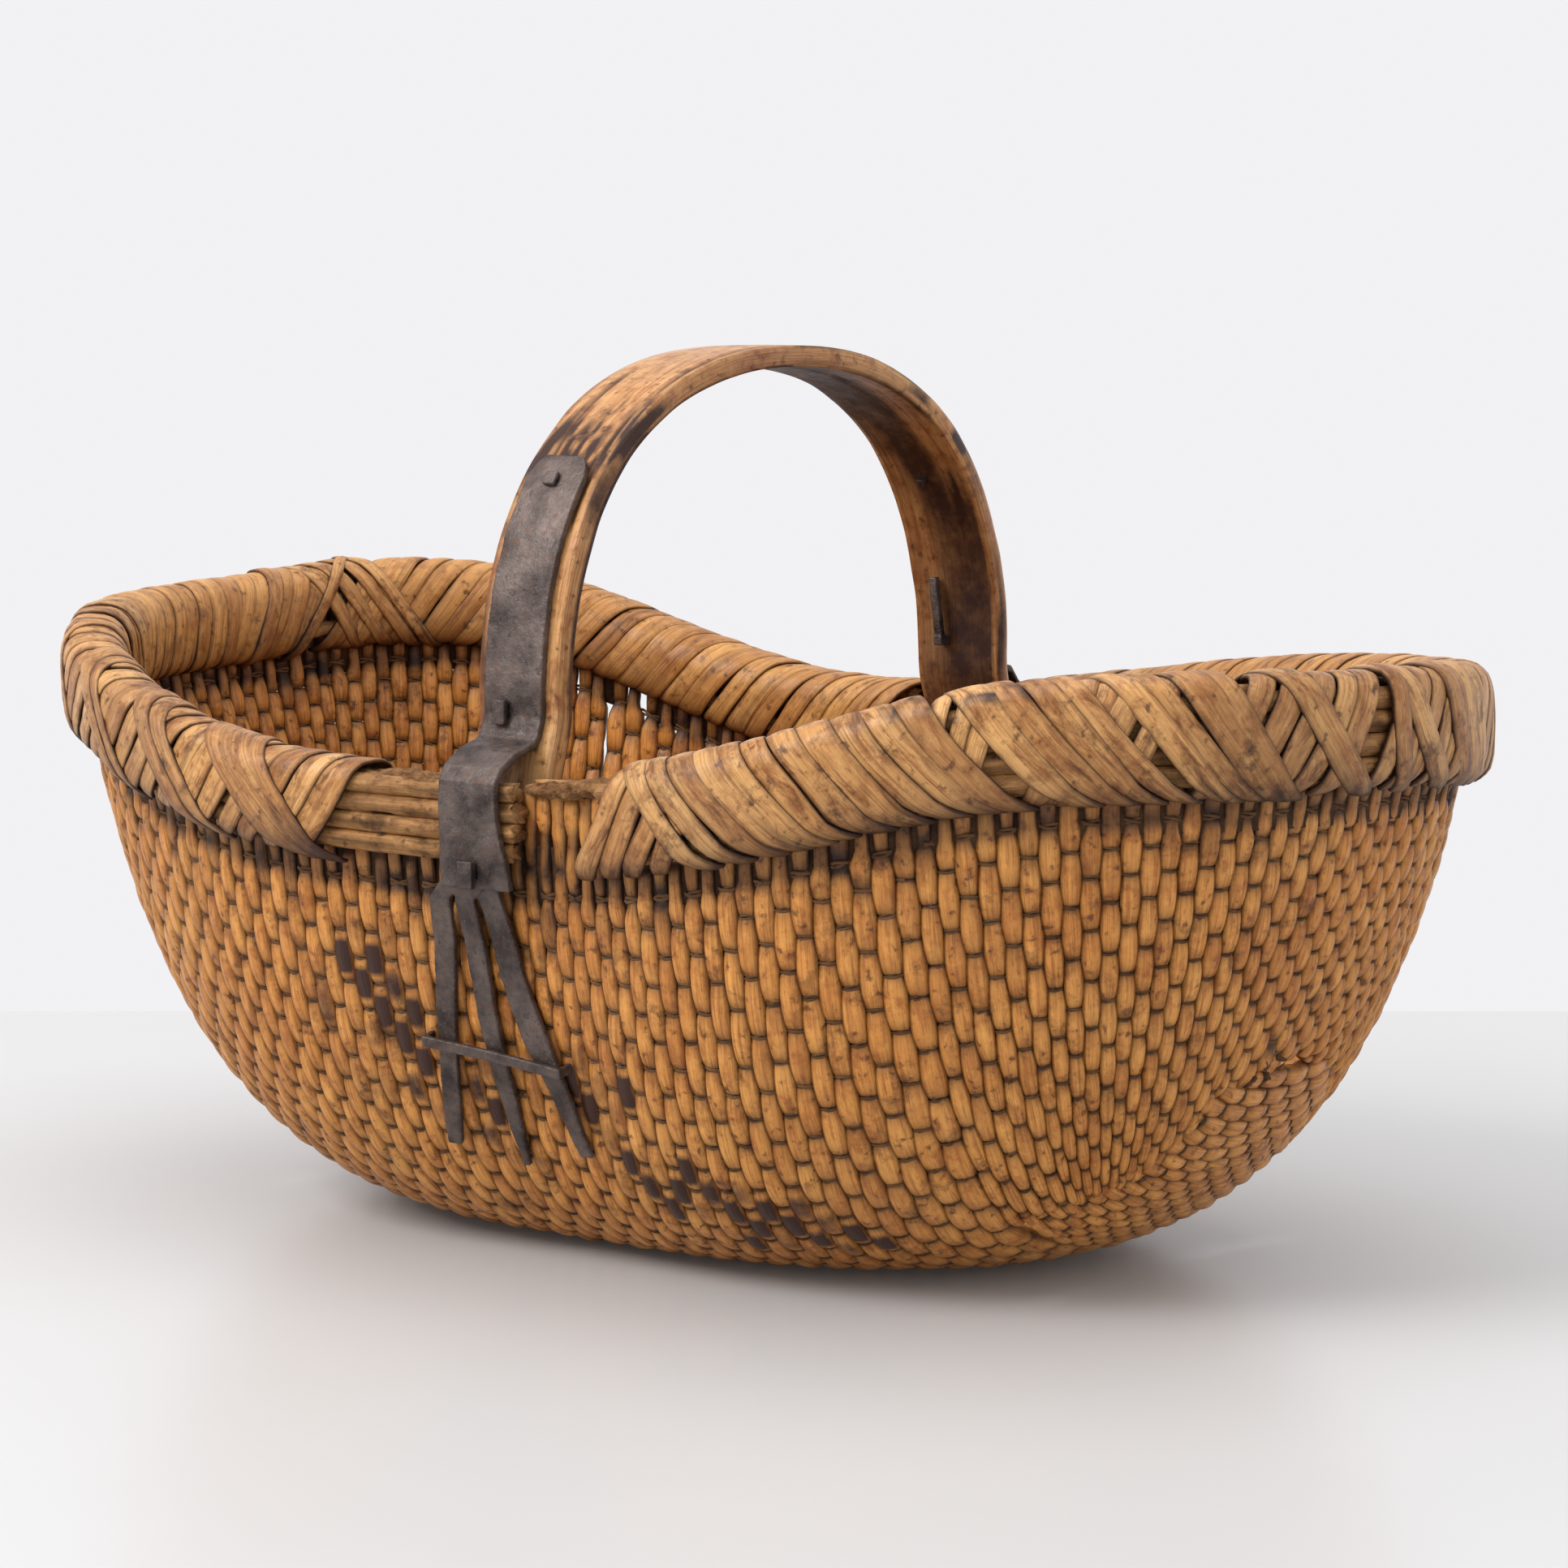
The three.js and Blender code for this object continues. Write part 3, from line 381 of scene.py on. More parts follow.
cross = {}          # (family, rod, row) -> P, N
def side_x(x0, y):
    yn, yf = rim(thx(np.float64(x0), -1.))[1], rim(thx(np.float64(x0), 1.))[1]
    y0 = np.where(y < BY, yn, yf); h = np.abs(y - BY) / np.abs(y0 - BY); xb = .82 * x0; para = xb + (x0 - xb) * h**2
    g = np.clip((np.abs(y) - 70) / (np.abs(y0) - 70), 0, 1.05); line = x0 * (180 / SX + (1 - 180 / SX) * g)
    b = (abs(x0) / SX)**3
    return para * (1 - b) + line * b


side_rods = list(range(-NJ, NJ + 1))
groups = {}
LLOG = []
for j in side_rods:
    x0 = j * PITCH
    pn, pf = rim(thx(np.float64(x0), -1.)), rim(thx(np.float64(x0), 1.))
    y = np.concatenate([np.linspace(pn[1], pn[1] + 12, 120)[:-1], np.linspace(pn[1] + 12, pf[1] - 12, 700)[:-1], np.linspace(pf[1] - 12, pf[1], 120)])
    x = side_x(x0, y)
    P, n, t = surf(x, y)
    xa, xz = side_x(x0 + PITCH / 2, y), side_x(x0 - PITCH / 2, y); dxp = xa - xz
    Pa, _, _ = surf(xa, np.clip(y, -166, 166)); Pb, _, _ = surf(xz, np.clip(y, -166, 166))
    tg = tangents(P); dd = Pa - Pb; dd -= tg * np.einsum('ij,ij->i', dd, tg)[:, None]
    w = np.clip(np.linalg.norm(dd, axis=1), dxp * .8, dxp * 1.5)
    P = P + n * (2.5 * np.clip(t, 0, 1)**4)[:, None]
    P[0, 2] = pn[2] - 18 * sch(x0); P[-1, 2] = pf[2] - 18 * sch(x0)
    s = np.concatenate([[0], np.cumsum(np.linalg.norm(np.diff(P, axis=0), axis=1))]); L = s[-1]; LLOG.append(L)
    # tops inside the rim wrapping
    hn = 24.; hf = 24.
    if 24 < x0 < 70: hn = 25 + 5 * float(hsh(j, 77.))
    if -52 < x0 < -10: hn = 22.
    e0 = np.linspace(-hn, -3, 6); e1 = np.linspace(3, hf, 6)
    up = np.array([0, 0, 1.])
    Pe0 = P[0] - e0[:, None] * up; Pe1 = P[-1] + e1[:, None] * up
    phs = []
    for k in range(KTOT): phs.append(k + FR)
    ph = np.concatenate(phs + [[KTOT]]); cc = np.interp(abs(x0), [0, 60, 100, 150, 186], [.03, -.02, -.06, -.12, -.14])
    ud = np.linspace(0, 1, 1500); fd = KTOT * (ud + cc * np.sin(2 * np.pi * ud) / (2 * np.pi)); sn = np.interp(ph, fd, ud) * L
    Pr, nr, wr = resample(s, [P, n, w], sn); nr /= np.linalg.norm(nr, axis=1, keepdims=True)
    Pt = np.concatenate([Pe0, Pr, Pe1]); nt = np.concatenate([np.repeat(nr[:1], 6, 0), nr, np.repeat(nr[-1:], 6, 0)])
    wt = np.concatenate([np.full(6, wr[0] * .95), wr, np.full(6, wr[-1] * .95)])
    st = np.concatenate([e0, sn, L + e1]); pt = np.concatenate([e0 / L * KTOT, ph, KTOT + e1 / L * KTOT])
    par = j % 2
    oc = np.interp(par + 2 * np.floor((pt - par) / 2) + 1, fd, ud) * L; bf = np.zeros(len(st)); bulk = bul(pt, par)
    for bx, bv, rx, rv in BLOBS:
        bf = np.maximum(bf, 1.0 * np.exp(-((x0 - bx) / (rx * 1.5))**2 * .8 - ((oc - bv) / (rv * 1.25))**2 * .8))
    bf = bf * (.62 + .38 * hsh(oc, j)) * np.clip((bulk**2.4 - .34) / .5, 0, 1)
    if -80 < x0 < 46: bf = np.maximum(bf, .30 * np.exp(-((oc - 60) / 45)**2) * (hsh(j, np.round(oc), 5.) > .72) * bulk)
    g = (j + NJ) * 6 // (2 * NJ + 1)
    acc = groups.setdefault('side_%d' % g, Acc())
    build_rod(acc, Pt, nt, wt, st, pt, par, j + 300, top0=st, top1=L - st, burnf=bf)
    for k in range(1, KTOT):
        f = float(np.interp(k, fd, ud)) * L
        q = resample(s, [P, n], np.array([f])); cross[('s', j, k)] = (q[0][0], q[1][0] / np.linalg.norm(q[1][0]), par)
print('rod lengths', LLOG[NJ], LLOG[0], LLOG[-1], 'pitch', LLOG[NJ] / KTOT, LLOG[-1] / KTOT, 'SX', SX, 'LR', LR)
PSIDE = LLOG[-1] / KTOT / .86

# end rods, from the rim to the mitre
MA = np.array([0, 48.9, 89.7, 154.9, 190.35]); MX = np.array([256, 245, 217, 199, 180.]); MY = np.array([0, 38, 47, 62, 70.])
NE = int(190.35 * 2 // PITCH); al = -190.35 + PITCH * .5 + np.arange(NE) * (190.35 * 2 - PITCH) / (NE - 1)
endrods = {1: [], -1: []}
for sx in (1, -1):
    for i, a in enumerate(al):
        def plan(aa, f):
            sr = aa if sx > 0 else LR / 2 - aa
            R, O = rimframe(sr); m = np.abs(aa)
            mx, my = np.interp(m, MA, MX) * sx, np.interp(m, MA, MY) * np.sign(aa)
            return R[..., 0] * (1 - f) + mx * f, R[..., 1] * (1 - f) + my * f, R
        f = np.concatenate([np.linspace(0, .1, 80)[:-1], np.linspace(.1, 1.0, 300)])
        ay = a
        x, y, R = plan(np.full_like(f, ay), f)
        P, n, t = surf(x, y)
        x1, y1, _ = plan(np.full_like(f, ay + .5), f); x2, y2, _ = plan(np.full_like(f, ay - .5), f)
        Pa, _, _ = surf(x1, y1); Pb, _, _ = surf(x2, y2)
        tg = tangents(P); dd = Pa - Pb; dd -= tg * np.einsum('ij,ij->i', dd, tg)[:, None]
        w = np.clip(np.linalg.norm(dd, axis=1) * PITCH, 3.4, 8.5)
        w = np.convolve(np.pad(w, 10, mode='edge'), np.ones(21) / 21, 'valid')
        P = P + n * (2.5 * np.clip(t, 0, 1)**4)[:, None]
        P[0, 2] = R[0, 2] - 18 * sch(R[0, 0])
        s = np.concatenate([[0], np.cumsum(np.linalg.norm(np.diff(P, axis=0), axis=1))]); L = s[-1]
        pr = np.interp(abs(a), [0, 90, 190], [8.5, 9.5, PSIDE])
        kk = .18 * (1 - (a / 190.35)**2); phm = L * (1 + kk) / pr; dens = lambda q: (q + kk * q * q / L) / pr
        ph = np.concatenate([k + FR for k in range(int(phm) + 1)]); ph = np.append(ph[ph < phm], phm)
        sd = np.linspace(0, L, 600); sn = np.interp(ph, dens(sd), sd)
        Pr, nr, wr = resample(s, [P, n, w], sn); nr /= np.linalg.norm(nr, axis=1, keepdims=True)
        e0 = np.linspace(-24, -3, 6)
        Pt = np.concatenate([P[0] - e0[:, None] * np.array([0, 0, 1.]), Pr]); nt = np.concatenate([np.repeat(nr[:1], 6, 0), nr])
        wt = np.concatenate([np.full(6, wr[0]), wr]); st = np.concatenate([e0, sn])
        pt = np.concatenate([e0 / pr, ph]); par = (i + 1) % 2
        dive = np.clip((st - (L - 7)) / 7, 0, 1); Pt = Pt - nt * (dive * 1.6)[:, None]
        bf = np.zeros(len(st))
        if sx > 0:
            bf = .5 * np.exp(-((a + 27) / 4)**2 - ((st - 101) / 6)**2) + .5 * np.exp(-((a + 118) / 4)**2 - ((st - 120) / 6)**2)
        g = groups.setdefault('end_%s_%d' % ('right' if sx > 0 else 'left', i * 3 // NE), Acc())
        build_rod(g, Pt, nt, wt, st, pt, par, i + 700 + 100 * sx, top0=st, burnf=bf)
        for k in range(1, int(phm)):
            q = resample(s, [P, n], np.interp([float(k)], dens(sd), sd)); cross[('e', sx, i, k)] = (q[0][0], q[1][0] / np.linalg.norm(q[1][0]), par)
        endrods[sx].append(int(phm))

# short cross rods on the bottom ends, between the mitres
XM = np.array([170, 181, 199, 217, 245, 256.]); YM = np.array([80, 70, 62, 47, 38, 4.])
xc = []
x = 180 + PITCH * .35
while x < 254: xc.append(x); x += PITCH * .56
PC = PSIDE * .66
for sx in (1, -1):
    acc = Acc()
    for i, xx in enumerate(xc):
        ym = float(np.interp(xx, XM, YM)) + 3.5
        bend = 1 if xx > 178 else (178 - xx) / 30
        y = np.linspace(-ym - (12 if xx < 178 else 0), ym + (12 if xx < 178 else 0), 260)
        X = np.full_like(y, xx) + np.where(xx < 186, (np.abs(y) / 100)**2 * 9, 0)
        P, n, t = surf(X * sx, y)
        Pa, _, _ = surf((X + PITCH * .28) * sx, y); Pb, _, _ = surf((X - PITCH * .28) * sx, y)
        w = np.clip(np.linalg.norm(Pa - Pb, axis=1), 3.8, 7.)
        P = P + n * (2.5 * np.clip(t, 0, 1)**4)[:, None]
        s = np.concatenate([[0], np.cumsum(np.linalg.norm(np.diff(P, axis=0), axis=1))]); sm = np.interp(BY, y, s)
        phv = (s - sm) / PC + KTOT / 2
        k0, k1 = int(np.ceil(phv[0])), int(np.floor(phv[-1]))
        ph = np.concatenate([[phv[0]]] + [k + FR for k in range(k0, k1)] + [[k1, phv[-1]]]); sn = np.interp(ph, phv, s)
        Pr, nr, wr = resample(s, [P, n, w], sn); nr /= np.linalg.norm(nr, axis=1, keepdims=True)
        par = (NJ + 1 + i) % 2
        build_rod(acc, Pr, nr, wr, sn, ph, par, i + 1000 + 40 * sx)
        for k in range(k0, k1 + 1):
            q = resample(s, [P, n], np.interp([float(k)], phv, s)); cross[('c', sx, i, k)] = (q[0][0], q[1][0] / np.linalg.norm(q[1][0]), par)
    groups['bottom_' + ('right' if sx > 0 else 'left')] = acc
first = True
for gname, acc in groups.items():
    acc.build('weave_' + gname, willow, 'willow', ('willow_shell',) if first else ()); first = False


# ------------------------------------------------------------------ strings
def run_string(acc, pts, ns, side, seed):
    """pts at rods, side +1 outside, -1 inside; two twisted strands."""
    m = len(pts)
    if m < 2: return
    pts, ns, side = np.array(pts), np.array(ns), np.array(side, float)
    sub = 5; u = np.linspace(0, m - 1, (m - 1) * sub + 1); i = np.minimum(u.astype(int), m - 2); f = (u - i)
    P = pts[i] * (1 - f)[:, None] + pts[i + 1] * f[:, None]; n = ns[i] * (1 - f)[:, None] + ns[i + 1] * f[:, None]
    n /= np.linalg.norm(n, axis=1, keepdims=True)
    w = side[i] * (1 - f) + side[i + 1] * f; w = np.sign(w) * np.abs(np.sin(w * np.pi / 2))**.6
    c = P + n * (MID + w * (GLO + .62))[:, None]
    Tn = tangents(c); Bn = np.cross(Tn, n); Bn /= np.maximum(np.linalg.norm(Bn, axis=1, keepdims=True), 1e-9)
    tw = u * 2.9 + seed; K = 5; th = np.arange(K) * 2 * np.pi / K
    for q in (0, np.pi):
        r = .60 + .08 * hsh(seed, q)
        cc = c + n * (.30 * np.cos(tw + q))[:, None] + Bn * (.78 * np.sin(tw + q) + .25 * (hsh(seed, np.floor(u)) - .5))[:, None]
        S = cc[:, None] + r * (n[:, None] * np.cos(th)[None, :, None] + Bn[:, None] * np.sin(th)[None, :, None])
        S[..., 2] = np.maximum(S[..., 2], .1)
        M = len(cc); s = u * PITCH
        acc.loft(S, dict(fib=np.stack([np.broadcast_to(s[:, None] + np.sin(th) * 2, (M, K)), np.broadcast_to(th[None] * 2., (M, K)), np.full((M, K), seed * 3.1)], -1),
                         tone=np.full((M, K), float(hsh(seed, q))), dark=np.full((M, K), .12 + .25 * float(hsh(seed, 2.))), burn=np.zeros((M, K))))


sacc = [Acc() for _ in range(7)]; SC = {1: 3, -1: 5}
for k in range(1, KTOT):
    pts, ns, sd = [], [], []
    for j in side_rods:
        q = cross[('s', j, k)]; pts.append(q[0]); ns.append(q[1]); sd.append(1 if (k - q[2]) % 2 == 0 else -1)
    run_string(sacc[k * 3 // KTOT], pts, ns, sd, k * 1.37)
for sx in (1, -1):
    for k in range(0, KTOT + 1):
        pts, ns, sd = [], [], []
        for i in range(len(xc)):
            if ('c', sx, i, k) in cross: q = cross[('c', sx, i, k)]; pts.append(q[0]); ns.append(q[1]); sd.append(1 if (k - q[2]) % 2 == 0 else -1)
            else: run_string(sacc[SC[sx]], pts, ns, sd, k * 2.7 + i); pts, ns, sd = [], [], []
        run_string(sacc[SC[sx]], pts, ns, sd, k * 2.7 + 50)
    for k in range(1, max(endrods[sx])):
        pts, ns, sd = [], [], []
        for i in range(NE):
            key = ('e', sx, i, k)
            if key in cross: q = cross[key]; pts.append(q[0]); ns.append(q[1]); sd.append(1 if (k - q[2]) % 2 == 0 else -1)
            else: run_string(sacc[SC[sx] + 1], pts, ns, sd, k * 2.1 + i); pts, ns, sd = [], [], []
        run_string(sacc[SC[sx] + 1], pts, ns, sd, k * 2.1 + 60)
for i, a in enumerate(sacc): a.build('weft_string_%d' % i, string, 'willow')


# worn spot on the right end: broken rod ends and loose string
acc = Acc()
Pf, nf, _ = surf(np.array([253.5]), np.array([-21.4])); Pf, nf = Pf[0], nf[0]; tz = np.cross(nf, [0, 1, 0]); tz /= np.linalg.norm(tz); ty = np.cross(nf, tz)
for q in range(26):
    a0 = H_(q, 1.) * 6.283; r0 = 7 * H_(q, 2.); c0 = Pf + (tz * math.cos(a0) * 1.3 + ty * math.sin(a0)) * r0 - nf * .8
    dr = tz * (H_(q, 3.) - .5) + ty * (H_(q, 4.) - .5) + nf * (.15 + .35 * H_(q, 5.)); ln = 3 + 7 * H_(q, 6.); u = np.linspace(0, 1, 9)
    C = c0 + dr * (u * ln)[:, None] + (nf * -1.2 + ty * (H_(q, 7.) - .5) * 4)[None] * (u**2 * 1.6)[:, None]
    Tn = tangents(C); n1 = np.cross(Tn, nf + .01); n1 /= np.linalg.norm(n1, axis=1, keepdims=True); n2 = np.cross(Tn, n1); th = np.arange(6) * np.pi / 3
    rr = (1.5 if q % 4 == 0 else .5) * (1 - .6 * u); S = C[:, None] + rr[:, None, None] * (n1[:, None] * np.cos(th)[None, :, None] + n2[:, None] * np.sin(th)[None, :, None])
    acc.loft(S, dict(fib=np.stack([np.broadcast_to(u[:, None] * ln, (9, 6)), np.broadcast_to(th[None] * 2, (9, 6)), np.full((9, 6), q * 3.)], -1), tone=np.full((9, 6), H_(q, 8.)), dark=np.full((9, 6), .25 + .5 * H_(q, 9.)), burn=np.zeros((9, 6))))
acc.build('worn_spot_fibres', string, 'willow')

# ------------------------------------------------------------------ rim rods
def rim_rod(acc, s0, s1, e, h, r, seed, rag0=0., rag1=0.):
    n = max(6, int(abs(s1 - s0) / 3.2)); s = np.linspace(s0, s1, n); K = 10; th = np.arange(K) * 2 * np.pi / K
    sd = np.full(n, float(seed)); q = np.stack([s, sd, sd * 0], -1)
    ee = e + .5 * vn(q, .02) + .2 * vn(q, .09); hh = h + .45 * vn(q + 50, .02) + .2 * vn(q + 9, .08)
    rr = r * (1 + .05 * vn(q + 7, .05) + .10 * np.maximum(0, vn(q + 3, .025) - .45))
    g = np.stack(np.broadcast_arrays(s[:, None] * .05, np.cos(th)[None] * 2 + seed, np.sin(th)[None] * 2), -1)
    rk = rr[:, None] * (1 + .07 * vn(g, 1.6) - .20 * (vn(g * [1, 2.4, 2.4], 1.) > .52))
    ss = s[:, None] + 0 * rk
    ss[0] += rag0 * hsh(np.arange(K), seed); ss[-1] -= rag1 * hsh(np.arange(K) + 5, seed)
    S = band(ss, ee[:, None] + rk * np.cos(th)[None], hh[:, None] + rk * np.sin(th)[None])
    M = n; cr = (vn(g * [1, 2.4, 2.4], 1.) > .45) * .55
    acc.loft(S, dict(fib=np.stack([ss, np.broadcast_to(th[None] * 3.3, (M, K)), np.full((M, K), seed * 5.)], -1), tone=np.full((M, K), float(hsh(seed, 3.))) * .8 + .1,
                     dark=np.clip(cr + .25 * np.maximum(0, vn(g + 4, .7)), 0, 1), burn=np.zeros((M, K))))


near, far = lambda x: s_at(-1, x), lambda x: s_at(1, x)
acc = Acc()
BRK, STA = [26.5, 29.5, 31, 28.5], [71, 73, 72, 70]
for i, h in enumerate([-12.5, -5.2, 2.1, 9.4]): rim_rod(acc, near(STA[i]), near(BRK[i]) + LR, 6.35, h, 3.7, i + 1, 3, 4)
acc.build('rim_rods_outer', rodm, 'rim_rod', tuple('rim_rod_outer_%d' % k for k in (1, 2, 3, 4)))
acc = Acc()
for q, (e, h, r) in enumerate([(-7.4, -9.8, 3.5), (-7.4, 2.8, 3.5), (-.9, 11.75, 3.2)]):
    rim_rod(acc, far(-31), near(-52) + LR, e, h, r, 11 + q, 2, 3); rim_rod(acc, near(70), far(37), e, h, r, 21 + q, 3, 2)
acc.build('rim_rods_inner', rodm, 'rim_rod', ('rim_rod_inner_left_a', 'rim_rod_inner_left_b', 'rim_rod_inner_right_a', 'rim_rod_inner_right_b', 'rim_rod_top_left', 'rim_rod_top_right'))
acc = Acc(); rim_rod(acc, near(30), near(54), -.6, 11.6, 2.7, 31, 5, 6)
acc.build('rim_rod_loose_end', rodm, 'rim_rod', ('rim_rod_fragment',))

# ------------------------------------------------------------------ wrapping strips
WO = np.array([[0, 17.9], [4, 17.7], [7.6, 16.7], [10.4, 14.3], [11.9, 11], [12.5, 7], [12.7, 1], [12.7, -6], [12.5, -12], [11.6, -16], [9.4, -18.6], [6.6, -20.2]])
WI = np.array([[0, 17.9], [-4, 17.3], [-7.4, 15.7], [-10.2, 13], [-12.2, 9.3], [-13.3, 4.5], [-13.5, -2], [-13.4, -8], [-12.6, -13.6], [-10.8, -17], [-7.6, -18.8], [-4.8, -19.2]])


def prof(v):
    v = np.asarray(v, float); out = np.zeros(v.shape + (2,))
    for C, sg in ((WO, 1), (WI, -1)):
        L = np.concatenate([[0], np.cumsum(np.linalg.norm(np.diff(C, axis=0), axis=1))]); L /= L[-1]
        m = v * sg >= 0
        for k in (0, 1): out[..., k] = np.where(m, np.interp(v * sg, L, C[:, k]), out[..., k])
    return out


_v = np.linspace(-1.0, 1.0, 401); _pf = prof(_v)
for _ in range(6): _pf[1:-1] = (_pf[:-2] + 2 * _pf[1:-1] + _pf[2:]) / 4
_tg = np.gradient(_pf, axis=0); _tg /= np.linalg.norm(_tg, axis=1, keepdims=True); _nm = np.stack([-_tg[:, 1], _tg[:, 0]], -1)


def profn(v):
    v = np.clip(v, -1, 1); P = np.stack([np.interp(v, _v, _pf[:, k]) for k in (0, 1)], -1); n = np.stack([np.interp(v, _v, _nm[:, k]) for k in (0, 1)], -1)
    return P, n / np.linalg.norm(n, axis=-1, keepdims=True)


def H(*a): return float(hsh(*a))


def strip(acc, s0, so, si, W, lift=0., v0=-1., v1=1., tapo=.45, tapi=.5, pw=1.25, pwi=1.15, tilt=.5, seed=0., burn=0., dk=0., point=0., over=0., edark=.75, scuff=0.):
    n = int(16 + 30 * (v1 - v0) / 2); v = np.linspace(v0, v1, n)
    P, nm = profn(v)
    sl = np.where(v > 0, so * np.abs(v)**pw, si * np.abs(v)**pwi) + 1.0 * vn(np.stack([v * 2, v * 0 + seed, v * 0], -1), 1.)
    tp = np.ones(n)
    tp = np.where(v > .80, 1 - (1 - tapo) * ((v - .80) / .20)**1.3, tp); tp = np.where(v < -.84, 1 - (1 - tapi) * ((-v - .84) / .16)**1.5, tp)
    if v0 > -.95: tp *= np.clip((v - v0) / .10, .25, 1)
    if v1 < .95: tp *= np.clip((v1 - v) / .10, .25, 1)
    W = W * (.88 + .26 * H(seed, 21.)) * (1 + .12 * vn(np.stack([v * 2 + 9, v * 0 + seed, v * 0], -1), 1.3))
    ww = np.array([-1, -.92, -.66, -.33, 0, .33, .66, .92, 1.]); nw = len(ww)
    crown = .55 * (1 - ww**2) - .25 * (np.abs(ww) > .95)
    if v1 > .95: dk = dk + .10 * H(seed, 12.)
    cs = s0 + sl; S = np.zeros((n, 2 * nw, 3)); hw = (W / 2 * tp)[:, None]
    sg = cs[:, None] + ww[None] * hw + point * np.clip((v - .82) / .18, 0, 1)[:, None] * (1 + ww[None]) * .5
    off = lift + crown[None] + tilt * ww[None] * .6 + .18 * vn(np.stack(np.broadcast_arrays(sg * .15, v[:, None] * 9, seed + 0 * sg), -1), 1.) + over * np.clip((v - .9) / .1, 0, 1)[:, None]
    top = band(sg, P[:, None, 0] + nm[:, None, 0] * off, P[:, None, 1] + nm[:, None, 1] * off)
    bt = off - 1.15
    bot = band(sg, P[:, None, 0] + nm[:, None, 0] * bt, P[:, None, 1] + nm[:, None, 1] * bt)
    S[:, :nw] = top; S[:, nw:] = bot[:, ::-1]
    w2 = np.concatenate([ww, ww[::-1]]); topm = np.concatenate([np.ones(nw), np.zeros(nw)])
    ln = v * 48
    if H(seed, 31.) > .55: dk = dk + .55 * np.exp(-((w2[None] - (H(seed, 32.) - .5)) / .16)**2) * np.clip(2.2 * vn(np.stack([v * 2.2 + 3, v * 0 + seed, v * 0], -1), 1.)[:, None], 0, 1)
    # painted shade: the strip darkens at its edges into the gaps between strips (edark), on its underside and on the
    # lowered side of a tilted strip; it also darkens down both faces towards its ends, more on the inside face; dk adds
    # stains and split lines
    dark = edark * (np.abs(w2)[None]**10) + (1 - topm)[None] * .4 + .42 * np.clip((np.abs(v)[:, None] - .45) / .55, 0, 1)**1.3 + .35 * np.clip((np.abs(v)[:, None] - .82) / .18, 0, 1) + .30 * np.clip((-v[:, None] - .55) / .4, 0, 1) + dk + 0 * ln[:, None]
    dark = dark + .12 * np.clip(-w2[None] * np.sign(tilt), 0, 1)**3
    bn = burn * np.clip((v[:, None] - .45) / .5, 0, 1)**1.2 + 0 * dark
    if scuff: bn = bn + scuff * np.exp(-((v[:, None] - .20) / .10)**2) * np.clip(.3 + 1.6 * vn(np.stack(np.broadcast_arrays(sg[:, :1] * .3 + w2[None] * 2, v[:, None] * 14, seed + 0 * dark), -1), 1.), 0, 1)
    fib = np.stack([ln[:, None] + 0 * dark, w2[None] * W[:, None] * .5, seed * 11.3 + 0 * dark], -1)
    acc.loft(S, dict(fib=fib, tone=np.full(dark.shape, float(hsh(seed, 1.3))), dark=np.clip(dark, 0, 1), burn=np.clip(bn, 0, 1)))


def row(acc, a, b, pitch, so, si, W, seed, **kw):
    s = a; k = 0
    while s < b:
        k += 1; sd = seed + k * 1.7
        strip(acc, s, so * (1 + .10 * (H(sd, 1.) - .5)), si * (1 + .10 * (H(sd, 2.) - .5)), W * (.95 + .1 * H(sd, 3.)), seed=sd, lift=kw.get('lift', 0.) + .55 * H(sd, 5.),
              **{q: v for q, v in kw.items() if q != 'lift'})
        s += pitch * (.93 + .14 * H(sd, 4.))


acc = Acc()
# near side, right of the handle: a small crossed start, then a close run of long slanting strips with two gaps
row(acc, -297, -256, 11.5, -24, 20, 11.2, 10, lift=-.3, tapo=.7)
for q, (c, so, w) in enumerate(((-300, 34, 9), (-292, 40, 11), (-281, 42, 12), (-271, 42, 12), (-262, 40, 12))): strip(acc, c, so, -30, w, lift=.9, seed=20.5 + q, point=5, tilt=.5, dk=.08)
for q, (c, w) in enumerate(((-251, 13), (-239.5, 13), (-228, 13), (-216.5, 13), (-205, 13), (-193.5, 12.5), (-173, 13), (-162, 12.5), (-151, 12.5), (-141.5, 11), (-124, 12), (-115.5, 9.5))):
    strip(acc, c, 37 + 3 * H(c, 2.), -32, w, lift=.15 + .5 * H(c, 5.), seed=40 + q * 1.7, point=6, tilt=.7, dk=.10 * H(c, 6.), scuff=(.75 if -212 < c < -148 else .0))
for q, (c, so, w) in enumerate(((-168, -12, 8), (-159, -16, 9), (-178, -8, 8), (-131, -18, 10), (-122, -20, 9))): strip(acc, c, so, 20, w, lift=-.9, seed=70.5 + q, tapo=.7)
# right-hand end: an open under layer, wide strips across it
k = 0; c = -112.
while c < 60:
    k += 1
    if not (-92 < c < -74 or -16 < c < -1): strip(acc, c, -24 - 6 * H(k, 3.), 20, 9.2 + 1.6 * H(k, 4.), lift=-.5, seed=100 + k * 1.9, tapo=.75, tilt=-.4)
    c += 10.2 + 2.4 * H(k, 5.)
for q, (c, so, w) in enumerate(((-101, 34, 15), (-92, 30, 9), (-64, 33, 13.5), (-13, 3, 8.5), (-12, 30, 14), (22, 14, 12.5), (33, 10, 12), (44, 6, 12))): strip(acc, c, so, -20, w, lift=.9, seed=200.5 + q, point=5, tilt=.5, v0=-.35 if so == 3 else -1., dk=.05)
acc.build('rim_wrapping_right', split, 'binding', ('rim_binding_right',))
acc = Acc()
row(acc, 54, far(37), 12.6, -34, 30, 13.6, 300, tilt=-.5)
acc.build('rim_wrapping_far_right', splitin, 'binding')
acc = Acc()
row(acc, far(-30), 694, 11.2, -36, 38, 12.0, 400, tilt=-.5, pwi=1.0, edark=.38)
